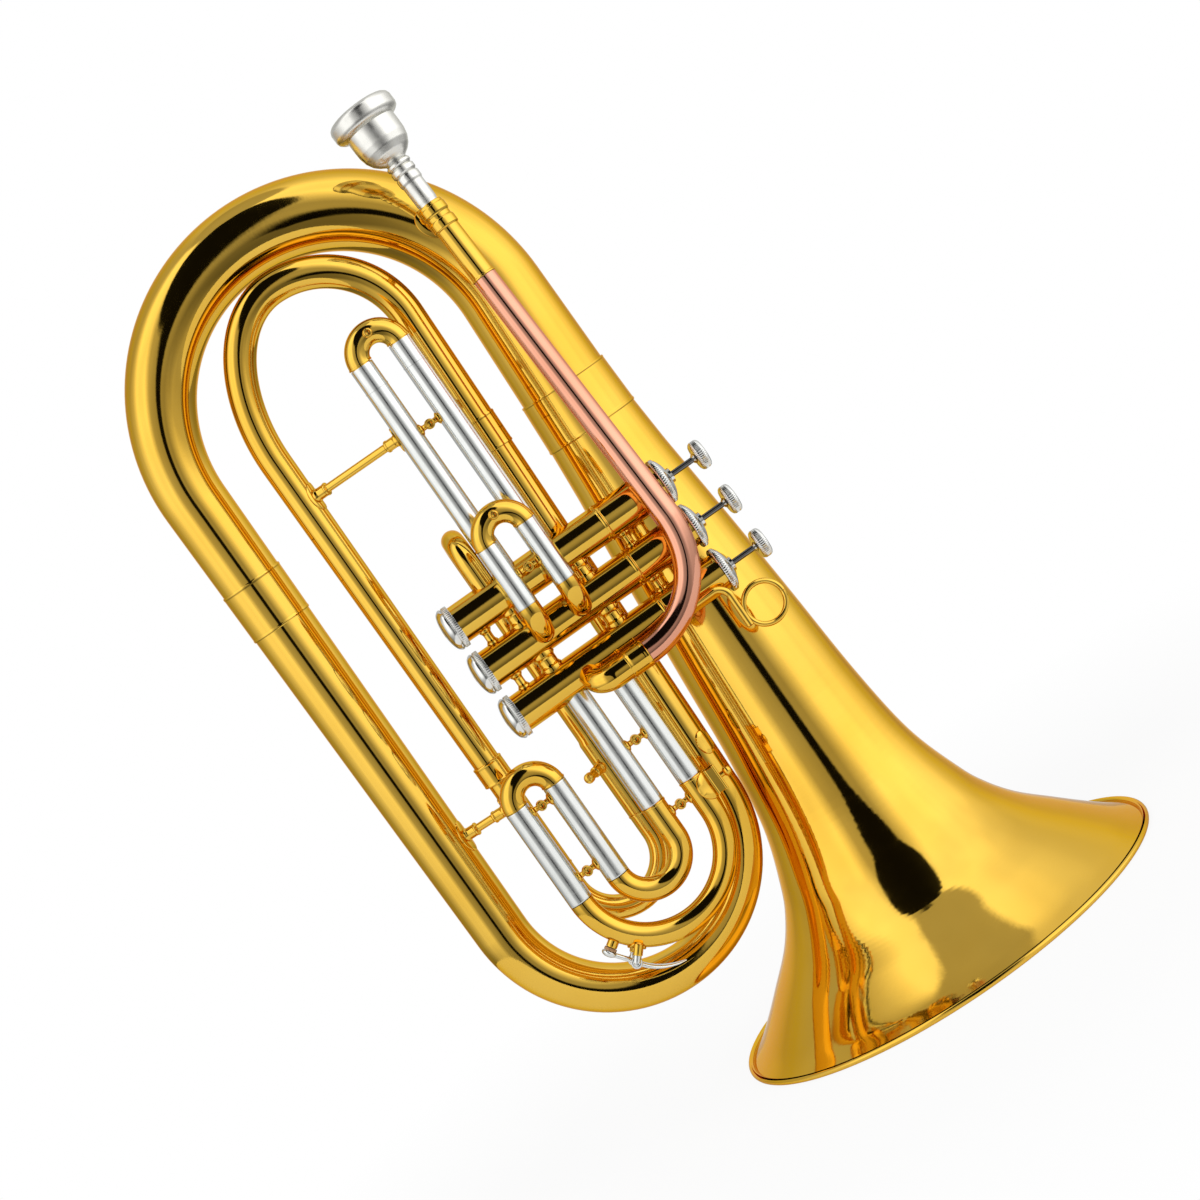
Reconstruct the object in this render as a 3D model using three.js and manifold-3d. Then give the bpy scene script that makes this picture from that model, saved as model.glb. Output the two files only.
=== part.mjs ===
import * as THREE from 'three';
import { mergeVertices } from 'three/addons/utils/BufferGeometryUtils.js';
import Module from 'manifold-3d';

const wasm = await Module();
wasm.setup();

// A three-valve marching euphonium, stood on its bell. Millimetres, +Z up, z = 0 at the bell's rim.
// +X points to the finger buttons, -Y to the side with the leadpipe. Until the last line, x = 0 is
// the bell's axis, and a depth is the distance from that axis towards -Y.

// Gaps between pieces
const SEAT_GAP = 0.3;
const RUN_GAP = 0.3;
const CUT_OVERRUN = 3;

// Bell
const RIM_R = 130;
const BEAD_R = 1.8;
const BELL_LENGTH = 356;
const BELL_END_R = 25.6;
const BELL_WALL = 0.7;
// Each pair is a share of the bell's length and of what its flare adds to the radius.
const BELL_FLARE_SHARES = [
  [0.006, 0.965], [0.0225, 0.88], [0.045, 0.789], [0.0787, 0.665], [0.124, 0.504], [0.1685, 0.392],
  [0.215, 0.315], [0.306, 0.2146], [0.427, 0.158], [0.58, 0.118], [0.73, 0.0766], [0.882, 0.0287],
];

// Large loop: tail, outer bow, bottom branch and lower bow, in the bell's plane at the bottom
const LOOP_WALL = 0.8;
const OUTER_BOW_R = 98.9;
const TAIL_RUN = 72.8;
const TAIL_LEAN = 0.9;
const OUTER_BOW_TOP_R = 23.7;
const OUTER_BOW_LOW_R = 17.8;
const BOTTOM_JOINT_DROP = 64.4;
const BOTTOM_LEAN = 1.1;
const LOWER_BOW_R = 70.15;
const LOWER_BOW_Z = 147;
const LOWER_BOW_LOW_R = 14.8;
const LOWER_BOW_TOP_R = 10.2;

// Inner loop, one plane nearer the valves
const INNER_DEPTH = 17;
const INNER_LEAN = 6.4;
const INNER_BOW_R = 50.75;
const INNER_BOW_RISE = 18.2;
const INNER_BOW_FALL = 77;
const INNER_BOW_TOP_R = 9.2;
const INNER_BOW_LOW_R = 8.6;
const INNER_JOINT_DROP = 75.9;
const INNER_END_R = 7.5;

// Ferrules over the joints
const FERRULE_WALL = 0.55;
const TAIL_FERRULE_LENGTH = 29.6;
const BOTTOM_FERRULE_LENGTH = 29.1;
const INNER_FERRULE_LENGTH = 19.8;
const COLLAR_LENGTH = 12.4;

// Valve casings, side by side along Z
const CASING_R = 10.4;
const CASING_WALL = 1.2;
const CASING_LENGTH = 133.3;
const CASING_TOP_X = 7.3;
const CASING_LIP_R = 0.35;
const CASING_LIP_DROP = 38;
const VALVE_1_SHARE = 0.84073;
const VALVE_SPACING = 28.15;
const CASING_TO_BELL = 3.48;

// Caps
const TOP_CAP_R = 12.9;
const TOP_CAP_SKIRT = 1.6;
const TOP_CAP_BAND = 3.2;
const TOP_CAP_DOME = 3;
const CAP_DOME_SHARE = 0.72;
const TOP_CAP_HUB_R = 4.2;
const TOP_CAP_HUB = 1.7;
const BOTTOM_CAP_R = 12.1;
const BOTTOM_CAP_SKIRT = 3;
const BOTTOM_CAP_BAND = 1.5;
const BOTTOM_CAP_DOME = 4.4;
const BOTTOM_CAP_RING_SHARES = [0.3, 0.65];

// Pistons
const STROKE = 13.5;
const STROKE_SPARE = 0.6;
const PISTON_BODY = 66;
const BARREL_WALL = 1;
const BARREL_PLUG = 2.5;
const GUIDE_THICK = 2.2;
const GUIDE_SEAT = 6;
const GUIDE_TAB = 4;
const GUIDE_TAB_GAP = 0.1;
const PORT_BORE_R = 5.4;
const PASSAGE_TURN = Math.PI / 3;
const SPRING_WIRE_R = 0.45;
const SPRING_TURNS = 6;
const SPRING_SIDE_GAP = 1.2;
const STEM_R = 2.1;
const BUTTON_R = 8.2;
const BUTTON_HEIGHT = 6.4;
const BUTTON_NECK_R = 3.4;
const BUTTON_SPARE = 1.1;
const BUTTON_DISH = 0.9;
const BUTTON_EDGE = 1.3;

// The tubes that meet the casings. Shares are of the casing's length, down from its top.
const SLIDE_LEG_SPACING = 23.7;
const SLIDE_PORT_SHARES = [0.5296, 0.5446, 0.5754];
const INLET_DROP = 12.5;
const OUTLET_GAP = 0.3;
const KNUCKLE_UPPER_SHARE = 0.46;
const KNUCKLE_LOWER_SHARE = 0.7712;
const STRUT_UPPER_DROP = 32.3;
const STRUT_LOWER_RISE = 13;
const KNUCKLE_R = 6.3;
const STRUT_R = 3.4;
const WAIST_DEPTH = 1;
const WAIST_START_SHARE = 0.25;

// Valve slides
const SLEEVE_R = 6.6;
const SLEEVE_WALL = 0.6;
const LEG_WALL = 0.5;
const LEG_GRIP = 42;
const SLIDE_1_SLEEVE_LENGTH = 137.7;
const SLIDE_1_BRACE_DROP = 44.2;
const SLIDE_2_SLEEVE_R = 6.1;
const SLIDE_2_RISE = 16.9;
const SLIDE_2_SLEEVE_LENGTH = 36.5;
const SLIDE_2_BRACE_RISE = 16.4;
const SLIDE_2_GRIP = 24;
const SLIDE_3_SLEEVE_LENGTH = 78.8;
const SLIDE_3_BRACE_RISE = 32.6;
const SLIDE_3_GOLD_BRACE_DROP = 8.8;
const SLIDE_3_BEND_RUN = 20.2;
const SLIDE_3_BEND_DROP = 18.1;
const SLIDE_3_LOWER_SLEEVE_LENGTH = 59;
const SLIDE_3_LOWER_BRACE_DROP = 5.6;
const SLIDE_3_LOWER_GRIP = 20;
const BRACE_ROD_R = 2.1;
const BRACE_FOOT_R = 4.2;
const KNOB_R = 1.9;
const KNOB_STEM_R = 1.1;
const KNOB_REACH = 4.4;

// Return bow, crossover tube and main tuning slide
const CROSS_R = 6.1;
const RETURN_BOW_RUN = 20.2;
const CROSS_RISE = 1.4;
const TUNING_SLEEVE_R = 6.8;
const TUNING_JOINT_RISE = 13.8;
const TUNING_BOW_RUN = 13.4;
const TUNING_GRIP = 32;
const COLLAR_RISE = 62.2;
const REST_POST_RISE = 31;
const REST_POST_R = 3.4;
const REST_POST_REACH = 12;
const REST_NECK_SHARE = 0.6;
const REST_NECK_R = 1.5;
const REST_BALL_R = 2.2;

// Leadpipe, receiver and mouthpiece
const LEADPIPE_R = 7.2;
const LEADPIPE_TOP_R = 6.6;
const LEADPIPE_WALL = 0.7;
const LEADPIPE_X = -3.2;
const LEADPIPE_BEND_RISE = 42;
const LEADPIPE_DROP = 9.9;
const LEADPIPE_END_X = -52;
const LEADPIPE_EASE_SHARES = [0.67, 0.5];
const LEADPIPE_STEPS = 8;
const INLET_ELBOW_R = 9;
const INLET_FERRULE = 12;
const MOUTH_X = -12.2;
const MOUTH_DEPTH = 38;
const MOUTH_RISE = 266.6;
const ROSE_TOP = 114;
const RECEIVER_R = 7.3;
const RECEIVER_TOP = 62;
const RECEIVER_RINGS = [4.3, 2.2, 4.3];
const RECEIVER_GROOVE = 0.3;
const RIM_OUTER_R = 18.9;
const RIM_BITE_R = 13;
const RIM_THICK = 11;
const RIM_EDGE = 1.4;
const CUP_R = 14.4;
const CUP_LENGTH = 32;
const CUP_END_R = 7.6;
const CUP_DEEP = 26;
// The cup's hollow and its outside, as pairs of a share of the depth and of the radius at its top.
const CUP_HOLLOW_SHARES = [[0.62, 0.72], [0.25, 0.94]];
const CUP_OUTSIDE_SHARES = [[0.58, 1], [0.88, 0.76]];
const COLLAR_NECK_R = 5.5;
const COLLAR_NECK = 1.4;
const COLLAR_END = 4.1;
const THROAT_R = 3.4;
const SHANK_R = 6;
const SHANK_TIP_R = 5.4;
const SHANK_GRIP = 20;

// Finger ring and hook
const RING_R = 11.3;
const RING_WIRE_R = 1.25;
const HOOK_R = 2.1;
const HOOK_SIDE = 5.3;
const HOOK_TOP_X = 1.5;
const HOOK_FOOT_X = -22;
const HOOK_TIP = 31.2;
const HOOK_BEND_R = 7;
const RING_SET = 25.5;
const RING_STEPS = 16;

// Posts between branches
const POST_R = 2.4;
const POST_FOOT_R = 3.9;
const POST_1_DROP = 41.5;
const POST_2_DROP = 21.2;
const RECEIVER_BRACE_SHARE = 0.493;

// Water key on the outer bend of the third slide
const KEY_NIPPLE_DEG = 56;
const KEY_PIVOT_TURN = 15;
const KEY_TIP_TURN = 27;
const SADDLE_SPREAD = 16;
const SADDLE_STEP_SHARES = [-1, -0.5, 0, 0.5, 1];
const NIPPLE_R = 3;
const NIPPLE_REACH = 3.2;
const NIPPLE_SINK = 2;
const CORK_R = 3.4;
const CORK_THICK = 1.6;
const KEY_CAP_R = 4;
const KEY_CAP_THICK = 1.4;
const KEY_PIVOT_LIFT = 7.6;
const KEY_ARM_R = 1.2;
const KEY_HUB_R = 2.4;
const KEY_HUB_WIDTH = 2.2;
const KEY_EAR_THICK = 1.4;
const KEY_EAR_R = 2.6;
const KEY_PIN_R = 0.9;
const KEY_SPRING_WIRE_R = 0.3;
const KEY_SPRING_TURNS = 3;
const KEY_SPRING_PITCH = 1.15;
const KEY_TIP_LIFT = 3.4;
const KEY_PAD_R = 2.6;

// Music clip holder on the third slide
const HOLDER_LENGTH = 14.7;
const HOLDER_WIDTH = 8.4;
const HOLDER_HEIGHT = 6.8;
const HOLDER_SLOT = 4.4;
const HOLDER_FLOOR = 1.1;
const HOLDER_SCREW_R = 1.5;
const HOLDER_HEAD_R = 3.1;
const HOLDER_FOOT_R = 5.2;

// Facets
const BIG_SIDES = 16;
const TUBE_SIDES = 10;
const SMALL_SIDES = 8;
const WIRE_SIDES = 6;
const BELL_SIDES = 24;
const BELL_RINGS = 9;
const BELL_RING_CROWDING = 1.5;
const BEAD_SIDES = 8;
const ELBOW_STEPS = 4;
const KEY_SPRING_SIDES = 5;
const VALVE_SPRING_SIDES = 3;
const MERGE_WITHIN = 1e-4;
const UPRIGHT_SHARE = 0.9;
const BOW_LEAST_STEPS = 2;

// Sizes that follow
const outerBowZ = BELL_LENGTH + TAIL_RUN;
const bottomJointZ = outerBowZ - BOTTOM_JOINT_DROP;
const innerBowZ = outerBowZ + INNER_BOW_RISE;
const innerLowZ = innerBowZ + INNER_BOW_R - INNER_BOW_FALL;
const innerJointZ = innerBowZ - INNER_JOINT_DROP;
const lowerBowLowX = TAIL_LEAN - 2 * OUTER_BOW_R + BOTTOM_LEAN;
const lowerBowTopX = lowerBowLowX + 2 * LOWER_BOW_R;
const innerTopX = lowerBowTopX + INNER_LEAN;
const innerLowX = innerTopX - 2 * INNER_BOW_R;
const valveZ = [0, 1, 2].map((i) => BELL_LENGTH * VALVE_1_SHARE - i * VALVE_SPACING);
const valveDepth = bellRadiusAt(valveZ[2] - BRACE_FOOT_R) + CASING_TO_BELL + CASING_R;
const frontDepth = valveDepth + TOP_CAP_R + LEADPIPE_R + SEAT_GAP;
const casingLowX = CASING_TOP_X - CASING_LENGTH;
const belowTop = (share) => CASING_TOP_X - CASING_LENGTH * share;
const [slide1X, slide2X, slide3X] = SLIDE_PORT_SHARES.map(belowTop);
const knuckleUpperX = belowTop(KNUCKLE_UPPER_SHARE);
const knuckleLowerX = belowTop(KNUCKLE_LOWER_SHARE);
const inletX = slide3X - INLET_DROP;
const outletX = slide1X - SLIDE_LEG_SPACING - SLEEVE_R - CROSS_R - OUTLET_GAP;
const strutUpperX = CASING_TOP_X - STRUT_UPPER_DROP;
const strutLowerX = casingLowX + STRUT_LOWER_RISE;
const casingBoreR = CASING_R - CASING_WALL;
const knuckleBoreR = KNUCKLE_R - WAIST_DEPTH - SLEEVE_WALL;
const pistonR = casingBoreR - RUN_GAP;
const barrelBoreR = pistonR - BARREL_WALL;
const barrelTop = CASING_LENGTH - BARREL_PLUG - SEAT_GAP;
const pistonLift = STROKE + STROKE_SPARE;
const guideLow = pistonLift + PISTON_BODY + GUIDE_SEAT;
const stemHoleR = STEM_R + RUN_GAP;
const legR = SLEEVE_R - SLEEVE_WALL - RUN_GAP;
const slide1TopZ = valveZ[0] + SLIDE_1_SLEEVE_LENGTH;
const slide2LowZ = valveZ[1] + SLIDE_2_RISE;
const slide2TopZ = slide2LowZ + SLIDE_2_SLEEVE_LENGTH;
const slide3EndZ = valveZ[2] - SLIDE_3_SLEEVE_LENGTH;
const goldBraceZ = slide3EndZ - SLIDE_3_GOLD_BRACE_DROP;
const bendZ = slide3EndZ - SLIDE_3_BEND_RUN;
const slide3LowerTopZ = bendZ + SLIDE_3_LOWER_SLEEVE_LENGTH;
const tuningX = outletX + CROSS_RISE;
const tuningJointZ = LOWER_BOW_Z + TUNING_JOINT_RISE;
const collarZ = tuningJointZ + COLLAR_RISE;
const leadpipeBendZ = valveZ[2] + LEADPIPE_BEND_RISE;
const leadpipeDropZ = valveZ[2] - LEADPIPE_DROP;
const pivotDeg = KEY_NIPPLE_DEG - KEY_PIVOT_TURN;
const tipDeg = pivotDeg - KEY_TIP_TURN;
const bendX = slide3X - SLIDE_LEG_SPACING - SLIDE_3_BEND_DROP;
const outerBendR = SLIDE_LEG_SPACING + SLIDE_3_BEND_DROP;
const bodyDepth = OUTER_BOW_LOW_R + FERRULE_WALL - lowerBowLowX + BOTTOM_LEAN;
const bellAxisX = (bodyDepth - RIM_R) / 2;

const halfGap = SEAT_GAP / 2;

const UP = new THREE.Vector3(0, 0, 1);
const DOWN = new THREE.Vector3(0, 0, -1);
const TO_BUTTONS = new THREE.Vector3(1, 0, 0);
const TO_BACK = new THREE.Vector3(0, 1, 0);
const TO_FRONT = new THREE.Vector3(0, -1, 0);

const place = (x, depth, z) => new THREE.Vector3(x, -depth, z);
const metal = (color, roughness) => new THREE.MeshStandardMaterial({ color, roughness, metalness: 1 });
const lacquer = () => metal(0xd9a63c, 0.18);
const roseBrass = () => metal(0xdf9b80, 0.2);
const nickel = () => metal(0xdcdcd6, 0.2);
const silver = () => metal(0xe9e6df, 0.16);
const steel = () => metal(0xb9bbbd, 0.35);
const dull = (color) => new THREE.MeshStandardMaterial({ color, roughness: 0.8, metalness: 0 });

// Solids and geometry

function solidOf(geometry) {
  const bare = geometry.clone();
  bare.deleteAttribute('normal');
  bare.deleteAttribute('uv');
  const merged = mergeVertices(bare, MERGE_WITHIN);
  return new wasm.Manifold(new wasm.Mesh({
    numProp: 3,
    vertProperties: new Float32Array(merged.attributes.position.array),
    triVerts: new Uint32Array(merged.index.array),
  }));
}

function geometryOf(solid) {
  const mesh = solid.getMesh();
  const geometry = new THREE.BufferGeometry();
  geometry.setAttribute('position', new THREE.BufferAttribute(new Float32Array(mesh.vertProperties), 3));
  geometry.setIndex(new THREE.BufferAttribute(new Uint32Array(mesh.triVerts), 1));
  geometry.computeVertexNormals();
  return geometry;
}

const join = (...parts) => geometryOf(parts.map(solidOf).reduce((a, b) => a.add(b)));
const cut = (part, ...tools) => geometryOf(
  tools.map(solidOf).reduce((a, b) => a.subtract(b), solidOf(part)));

function named(name, geometry, material) {
  const mesh = new THREE.Mesh(geometry, material);
  mesh.name = name;
  return mesh;
}

// A profile of [radius, height] turned about Z. It runs anticlockwise, seen with the radius to the right.
function turned(profile, sides) {
  const points = profile.map(([r, z]) => new THREE.Vector2(r, z));
  return new THREE.LatheGeometry(points, sides).rotateX(Math.PI / 2);
}

// Turns a geometry made along +Z so that it starts at a point and runs along a direction.
function aim(geometry, start, direction) {
  const turn = new THREE.Quaternion().setFromUnitVectors(UP, direction.clone().normalize());
  return geometry.applyQuaternion(turn).translate(start.x, start.y, start.z);
}

function rod(start, end, radius, sides = SMALL_SIDES) {
  const length = start.distanceTo(end);
  const bar = turned([[0, 0], [radius, 0], [radius, length], [0, length]], sides);
  return aim(bar, start, end.clone().sub(start));
}

// A rod whose flats lie outside the radius, for cutting clear of something round.
function clearRod(start, end, radius, sides = TUBE_SIDES) {
  return rod(start, end, radius / Math.cos(Math.PI / sides), sides);
}

function ball(centre, radius, sides = SMALL_SIDES) {
  return new THREE.SphereGeometry(radius, sides, sides / 2).translate(centre.x, centre.y, centre.z);
}

// A route is a list of stations: a point, the direction there, and the tube's outer and bore radius.
class Route {
  constructor(start, heading, radius, bore) {
    this.stations = [];
    this.at = start.clone();
    this.heading = heading.clone().normalize();
    this.mark(radius, bore);
  }

  mark(radius, bore) {
    this.radius = radius;
    this.bore = bore;
    this.stations.push({ at: this.at.clone(), heading: this.heading.clone(), radius, bore });
    return this;
  }

  go(length, radius = this.radius, bore = this.bore) {
    this.at.addScaledVector(this.heading, length);
    return this.mark(radius, bore);
  }

  goTo(target, radius = this.radius, bore = this.bore) {
    this.at.copy(target);
    return this.mark(radius, bore);
  }

  // Turns towards a direction square to the heading, round an arc of the bend radius.
  bend(towards, bendR, angle, steps, radius = this.radius, bore = this.bore) {
    const side = towards.clone().normalize();
    const ahead = this.heading.clone();
    const centre = this.at.clone().addScaledVector(side, bendR);
    const [r0, b0] = [this.radius, this.bore];
    for (let i = 1; i <= steps; i += 1) {
      const share = i / steps;
      const a = angle * share;
      this.at.copy(centre);
      this.at.addScaledVector(side, -bendR * Math.cos(a)).addScaledVector(ahead, bendR * Math.sin(a));
      this.heading.copy(ahead).multiplyScalar(Math.cos(a)).addScaledVector(side, Math.sin(a));
      this.mark(THREE.MathUtils.lerp(r0, radius, share), THREE.MathUtils.lerp(b0, bore, share));
    }
    return this;
  }

  // Turns square towards a side, along a quarter of an ellipse. The reach is how far it gets to
  // that side and the run is how far it gets ahead.
  quarter(towards, reach, run, radius = this.radius, bore = this.bore) {
    const ahead = this.heading.clone();
    const from = this.at.clone();
    const [r0, b0] = [this.radius, this.bore];
    const steps = BOW_LEAST_STEPS + Math.round(Math.sqrt(reach) / 2);
    for (let i = 1; i <= steps; i += 1) {
      const share = i / steps;
      const a = (Math.PI / 2) * share;
      this.at.copy(from);
      this.at.addScaledVector(towards, reach * (1 - Math.cos(a)));
      this.at.addScaledVector(ahead, run * Math.sin(a));
      this.heading.copy(ahead).multiplyScalar(run * Math.cos(a));
      this.heading.addScaledVector(towards, reach * Math.sin(a)).normalize();
      this.mark(THREE.MathUtils.lerp(r0, radius, share), THREE.MathUtils.lerp(b0, bore, share));
    }
    return this;
  }

  // Half a turn that comes back beside itself, so that the route ends at the given point.
  // A wider bow gets more steps.
  bow(end, radius = this.radius, bore = this.bore) {
    const across = end.clone().sub(this.at);
    const bendR = across.length() / 2;
    return this.bend(across, bendR, Math.PI, BOW_LEAST_STEPS + Math.round(Math.sqrt(bendR)), radius, bore);
  }
}

// The tube round a route: open at both ends where it has a bore, and closed where it has none.
function tube(route, sides) {
  const { stations } = route;
  const positions = [];
  const faces = [];
  const first = stations[0].heading;
  const helper = Math.abs(first.z) > UPRIGHT_SHARE ? TO_BUTTONS : UP;
  const normal = helper.clone().cross(first).normalize();
  let last = first;
  const ringsOf = (key) => stations.map((station) => {
    normal.applyQuaternion(new THREE.Quaternion().setFromUnitVectors(last, station.heading));
    last = station.heading;
    const binormal = station.heading.clone().cross(normal).normalize();
    const ring = [];
    for (let s = 0; s < sides; s += 1) {
      const a = (2 * Math.PI * s) / sides;
      const p = station.at.clone()
        .addScaledVector(normal, station[key] * Math.cos(a))
        .addScaledVector(binormal, station[key] * Math.sin(a));
      ring.push(positions.push(p.x, p.y, p.z) / 3 - 1);
    }
    return ring;
  });
  const skin = (a, b) => a.forEach((_, s) => {
    const t = (s + 1) % sides;
    faces.push(a[s], a[t], b[t], a[s], b[t], b[s]);
  });
  const outer = ringsOf('radius');
  outer.slice(1).forEach((ring, i) => skin(outer[i], ring));
  if (stations[0].bore > 0) {
    normal.copy(helper).cross(first).normalize();
    last = first;
    const inner = ringsOf('bore');
    inner.slice(1).forEach((ring, i) => skin(ring, inner[i]));
    skin(inner[0], outer[0]);
    skin(outer.at(-1), inner.at(-1));
  } else {
    for (let s = 1; s < sides - 1; s += 1) {
      faces.push(outer[0][0], outer[0][s + 1], outer[0][s]);
      faces.push(outer.at(-1)[0], outer.at(-1)[s], outer.at(-1)[s + 1]);
    }
  }
  const geometry = new THREE.BufferGeometry();
  geometry.setAttribute('position', new THREE.BufferAttribute(new Float32Array(positions), 3));
  geometry.setIndex(faces);
  geometry.computeVertexNormals();
  return geometry;
}

// A straight tube between two points, with its outer radius at each end.
function pipe(start, end, wall, startR, endR, sides) {
  const heading = end.clone().sub(start);
  return tube(new Route(start, heading, startR, startR - wall).goTo(end, endR, endR - wall), sides);
}

// A turned post between two tubes' axes, with a foot on each, cut clear of both.
function strut(a, b, axisA, radiusA, axisB, radiusB, rodR = BRACE_ROD_R, footR = BRACE_FOOT_R) {
  const length = a.distanceTo(b);
  const inset = (length - radiusA - radiusB) * WAIST_START_SHARE;
  const post = turned([[0, 0], [footR, 0], [footR, radiusA], [rodR, radiusA + inset],
    [rodR, length - radiusB - inset], [footR, length - radiusB], [footR, length], [0, length]], SMALL_SIDES);
  const through = (centre, axis, radius) => {
    const reach = axis.clone().multiplyScalar(footR + CUT_OVERRUN);
    return clearRod(centre.clone().sub(reach), centre.clone().add(reach), radius + SEAT_GAP, BELL_SIDES);
  };
  const body = aim(post, a, b.clone().sub(a));
  return cut(body, through(a, axisA, radiusA), through(b, axisB, radiusB));
}

// Clears a tube's end to fit round valve casing number i.
function casingRound(i, clearance = SEAT_GAP) {
  const z = valveZ[i];
  const ends = [place(casingLowX, valveDepth, z), place(CASING_TOP_X, valveDepth, z)];
  return clearRod(...ends, CASING_R + clearance, BIG_SIDES);
}

// Bell

// The bell's outside from its rim to its tail, as a list of its rings. The tail itself is a straight cone.
function bellRings() {
  const curve = new THREE.SplineCurve(BELL_FLARE_SHARES.map(([heightShare, radiusShare]) => new THREE.Vector2(
    THREE.MathUtils.lerp(BELL_END_R, RIM_R, radiusShare), BELL_LENGTH * heightShare)));
  const rings = [];
  for (let i = 1; i < BELL_RINGS; i += 1) {
    const share = (i / (BELL_RINGS - 1)) ** BELL_RING_CROWDING;
    rings.push({ at: curve.getPoint(share), along: curve.getTangent(share) });
  }
  const last = rings.at(-1).at;
  const end = new THREE.Vector2(BELL_END_R, BELL_LENGTH);
  const along = end.clone().sub(last).normalize();
  rings.at(-1).along.copy(along);
  return [...rings, { at: end, along }];
}

function bellRadiusAt(z) {
  const points = bellRings().map((ring) => ring.at);
  const above = points.findIndex((point) => point.y >= z);
  const [a, b] = [points[above - 1], points[above]];
  return THREE.MathUtils.lerp(a.x, b.x, (z - a.y) / (b.y - a.y));
}

function bellGeometry() {
  const rings = bellRings();
  rings.at(-1).at.y -= halfGap;
  const outer = rings.map(({ at }) => [at.x, at.y]);
  const inner = rings.map(({ at, along }) => [at.x - along.y * BELL_WALL, at.y + along.x * BELL_WALL]);
  inner.reverse();
  inner[0][1] = outer.at(-1)[1];
  const bead = [];
  const out = BEAD_R / Math.cos(Math.PI / BEAD_SIDES);
  for (let i = 0; i < BEAD_SIDES; i += 1) {
    const a = Math.PI + ((2 * i - 1) * Math.PI) / BEAD_SIDES;
    bead.push([RIM_R - BEAD_R + out * Math.cos(a), BEAD_R + out * Math.sin(a)]);
  }
  return turned([...bead, ...outer, ...inner, bead[0]], BELL_SIDES);
}

// Ferrules are plain sleeves that cover the joint of two tubes.
function ferrule(start, end, startR, endR) {
  const outerR = (r) => (r + RUN_GAP) / Math.cos(Math.PI / BELL_SIDES) + FERRULE_WALL;
  return pipe(start, end, FERRULE_WALL, outerR(startR), outerR(endR), BELL_SIDES);
}

const lerpPoint = (a, b, z) => a.clone().lerp(b, (z - a.z) / (b.z - a.z));

// The large loop

const tailTop = place(TAIL_LEAN, 0, outerBowZ);
const bottomBack = place(TAIL_LEAN - 2 * OUTER_BOW_R, 0, outerBowZ);
const bottomFront = place(lowerBowLowX, 0, LOWER_BOW_Z);
const innerFront = place(lowerBowTopX, INNER_DEPTH, LOWER_BOW_Z);
const innerBack = place(innerTopX, INNER_DEPTH, innerBowZ);
const bottomJoint = lerpPoint(bottomFront, bottomBack, bottomJointZ);
const innerJoint = lerpPoint(innerFront, innerBack, innerJointZ);

const shareBetween = (z, z0, z1) => (z - z0) / (z1 - z0);
const bottomJointR = THREE.MathUtils.lerp(
  LOWER_BOW_LOW_R, OUTER_BOW_LOW_R, shareBetween(bottomJointZ, LOWER_BOW_Z, outerBowZ));
const innerJointR = THREE.MathUtils.lerp(
  LOWER_BOW_TOP_R, INNER_BOW_TOP_R, shareBetween(innerJointZ, LOWER_BOW_Z, innerBowZ));

function outerBow() {
  const start = place(0, 0, BELL_LENGTH + halfGap);
  const bore = (r) => r - LOOP_WALL;
  const route = new Route(start, UP, BELL_END_R, bore(BELL_END_R));
  route.goTo(tailTop, OUTER_BOW_TOP_R, bore(OUTER_BOW_TOP_R));
  route.bow(bottomBack, OUTER_BOW_LOW_R, bore(OUTER_BOW_LOW_R));
  const end = lerpPoint(bottomFront, bottomBack, bottomJointZ + halfGap);
  route.goTo(end, bottomJointR, bore(bottomJointR));
  return tube(route, BIG_SIDES);
}

function bottomBranch() {
  const start = lerpPoint(bottomFront, bottomBack, LOWER_BOW_Z + halfGap);
  const end = lerpPoint(bottomFront, bottomBack, bottomJointZ - halfGap);
  return pipe(start, end, LOOP_WALL, LOWER_BOW_LOW_R, bottomJointR, TUBE_SIDES);
}

function lowerBow() {
  const route = new Route(innerFront, DOWN, LOWER_BOW_TOP_R, LOWER_BOW_TOP_R - LOOP_WALL);
  route.bow(bottomFront, LOWER_BOW_LOW_R, LOWER_BOW_LOW_R - LOOP_WALL);
  return tube(route, TUBE_SIDES);
}

function innerTopBranch() {
  const start = lerpPoint(innerFront, innerBack, LOWER_BOW_Z + SEAT_GAP);
  const end = lerpPoint(innerFront, innerBack, innerJointZ - halfGap);
  return pipe(start, end, LOOP_WALL, LOWER_BOW_TOP_R, innerJointR, TUBE_SIDES);
}

function innerBow() {
  const start = lerpPoint(innerFront, innerBack, innerJointZ + halfGap);
  const route = new Route(start, UP, innerJointR, innerJointR - LOOP_WALL);
  route.goTo(innerBack, INNER_BOW_TOP_R, INNER_BOW_TOP_R - LOOP_WALL);
  const apexR = (INNER_BOW_TOP_R + INNER_BOW_LOW_R) / 2;
  route.quarter(TO_BUTTONS.clone().negate(), INNER_BOW_R, INNER_BOW_R, apexR, apexR - LOOP_WALL);
  route.quarter(DOWN, INNER_BOW_FALL, INNER_BOW_R, INNER_BOW_LOW_R, INNER_BOW_LOW_R - LOOP_WALL);
  return tube(route, TUBE_SIDES);
}

function innerBottomBranch() {
  const start = place(innerLowX, INNER_DEPTH, innerLowZ - SEAT_GAP);
  const end = place(innerLowX, INNER_DEPTH, collarZ + halfGap);
  return pipe(start, end, LOOP_WALL, INNER_BOW_LOW_R, INNER_END_R, TUBE_SIDES);
}

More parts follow.
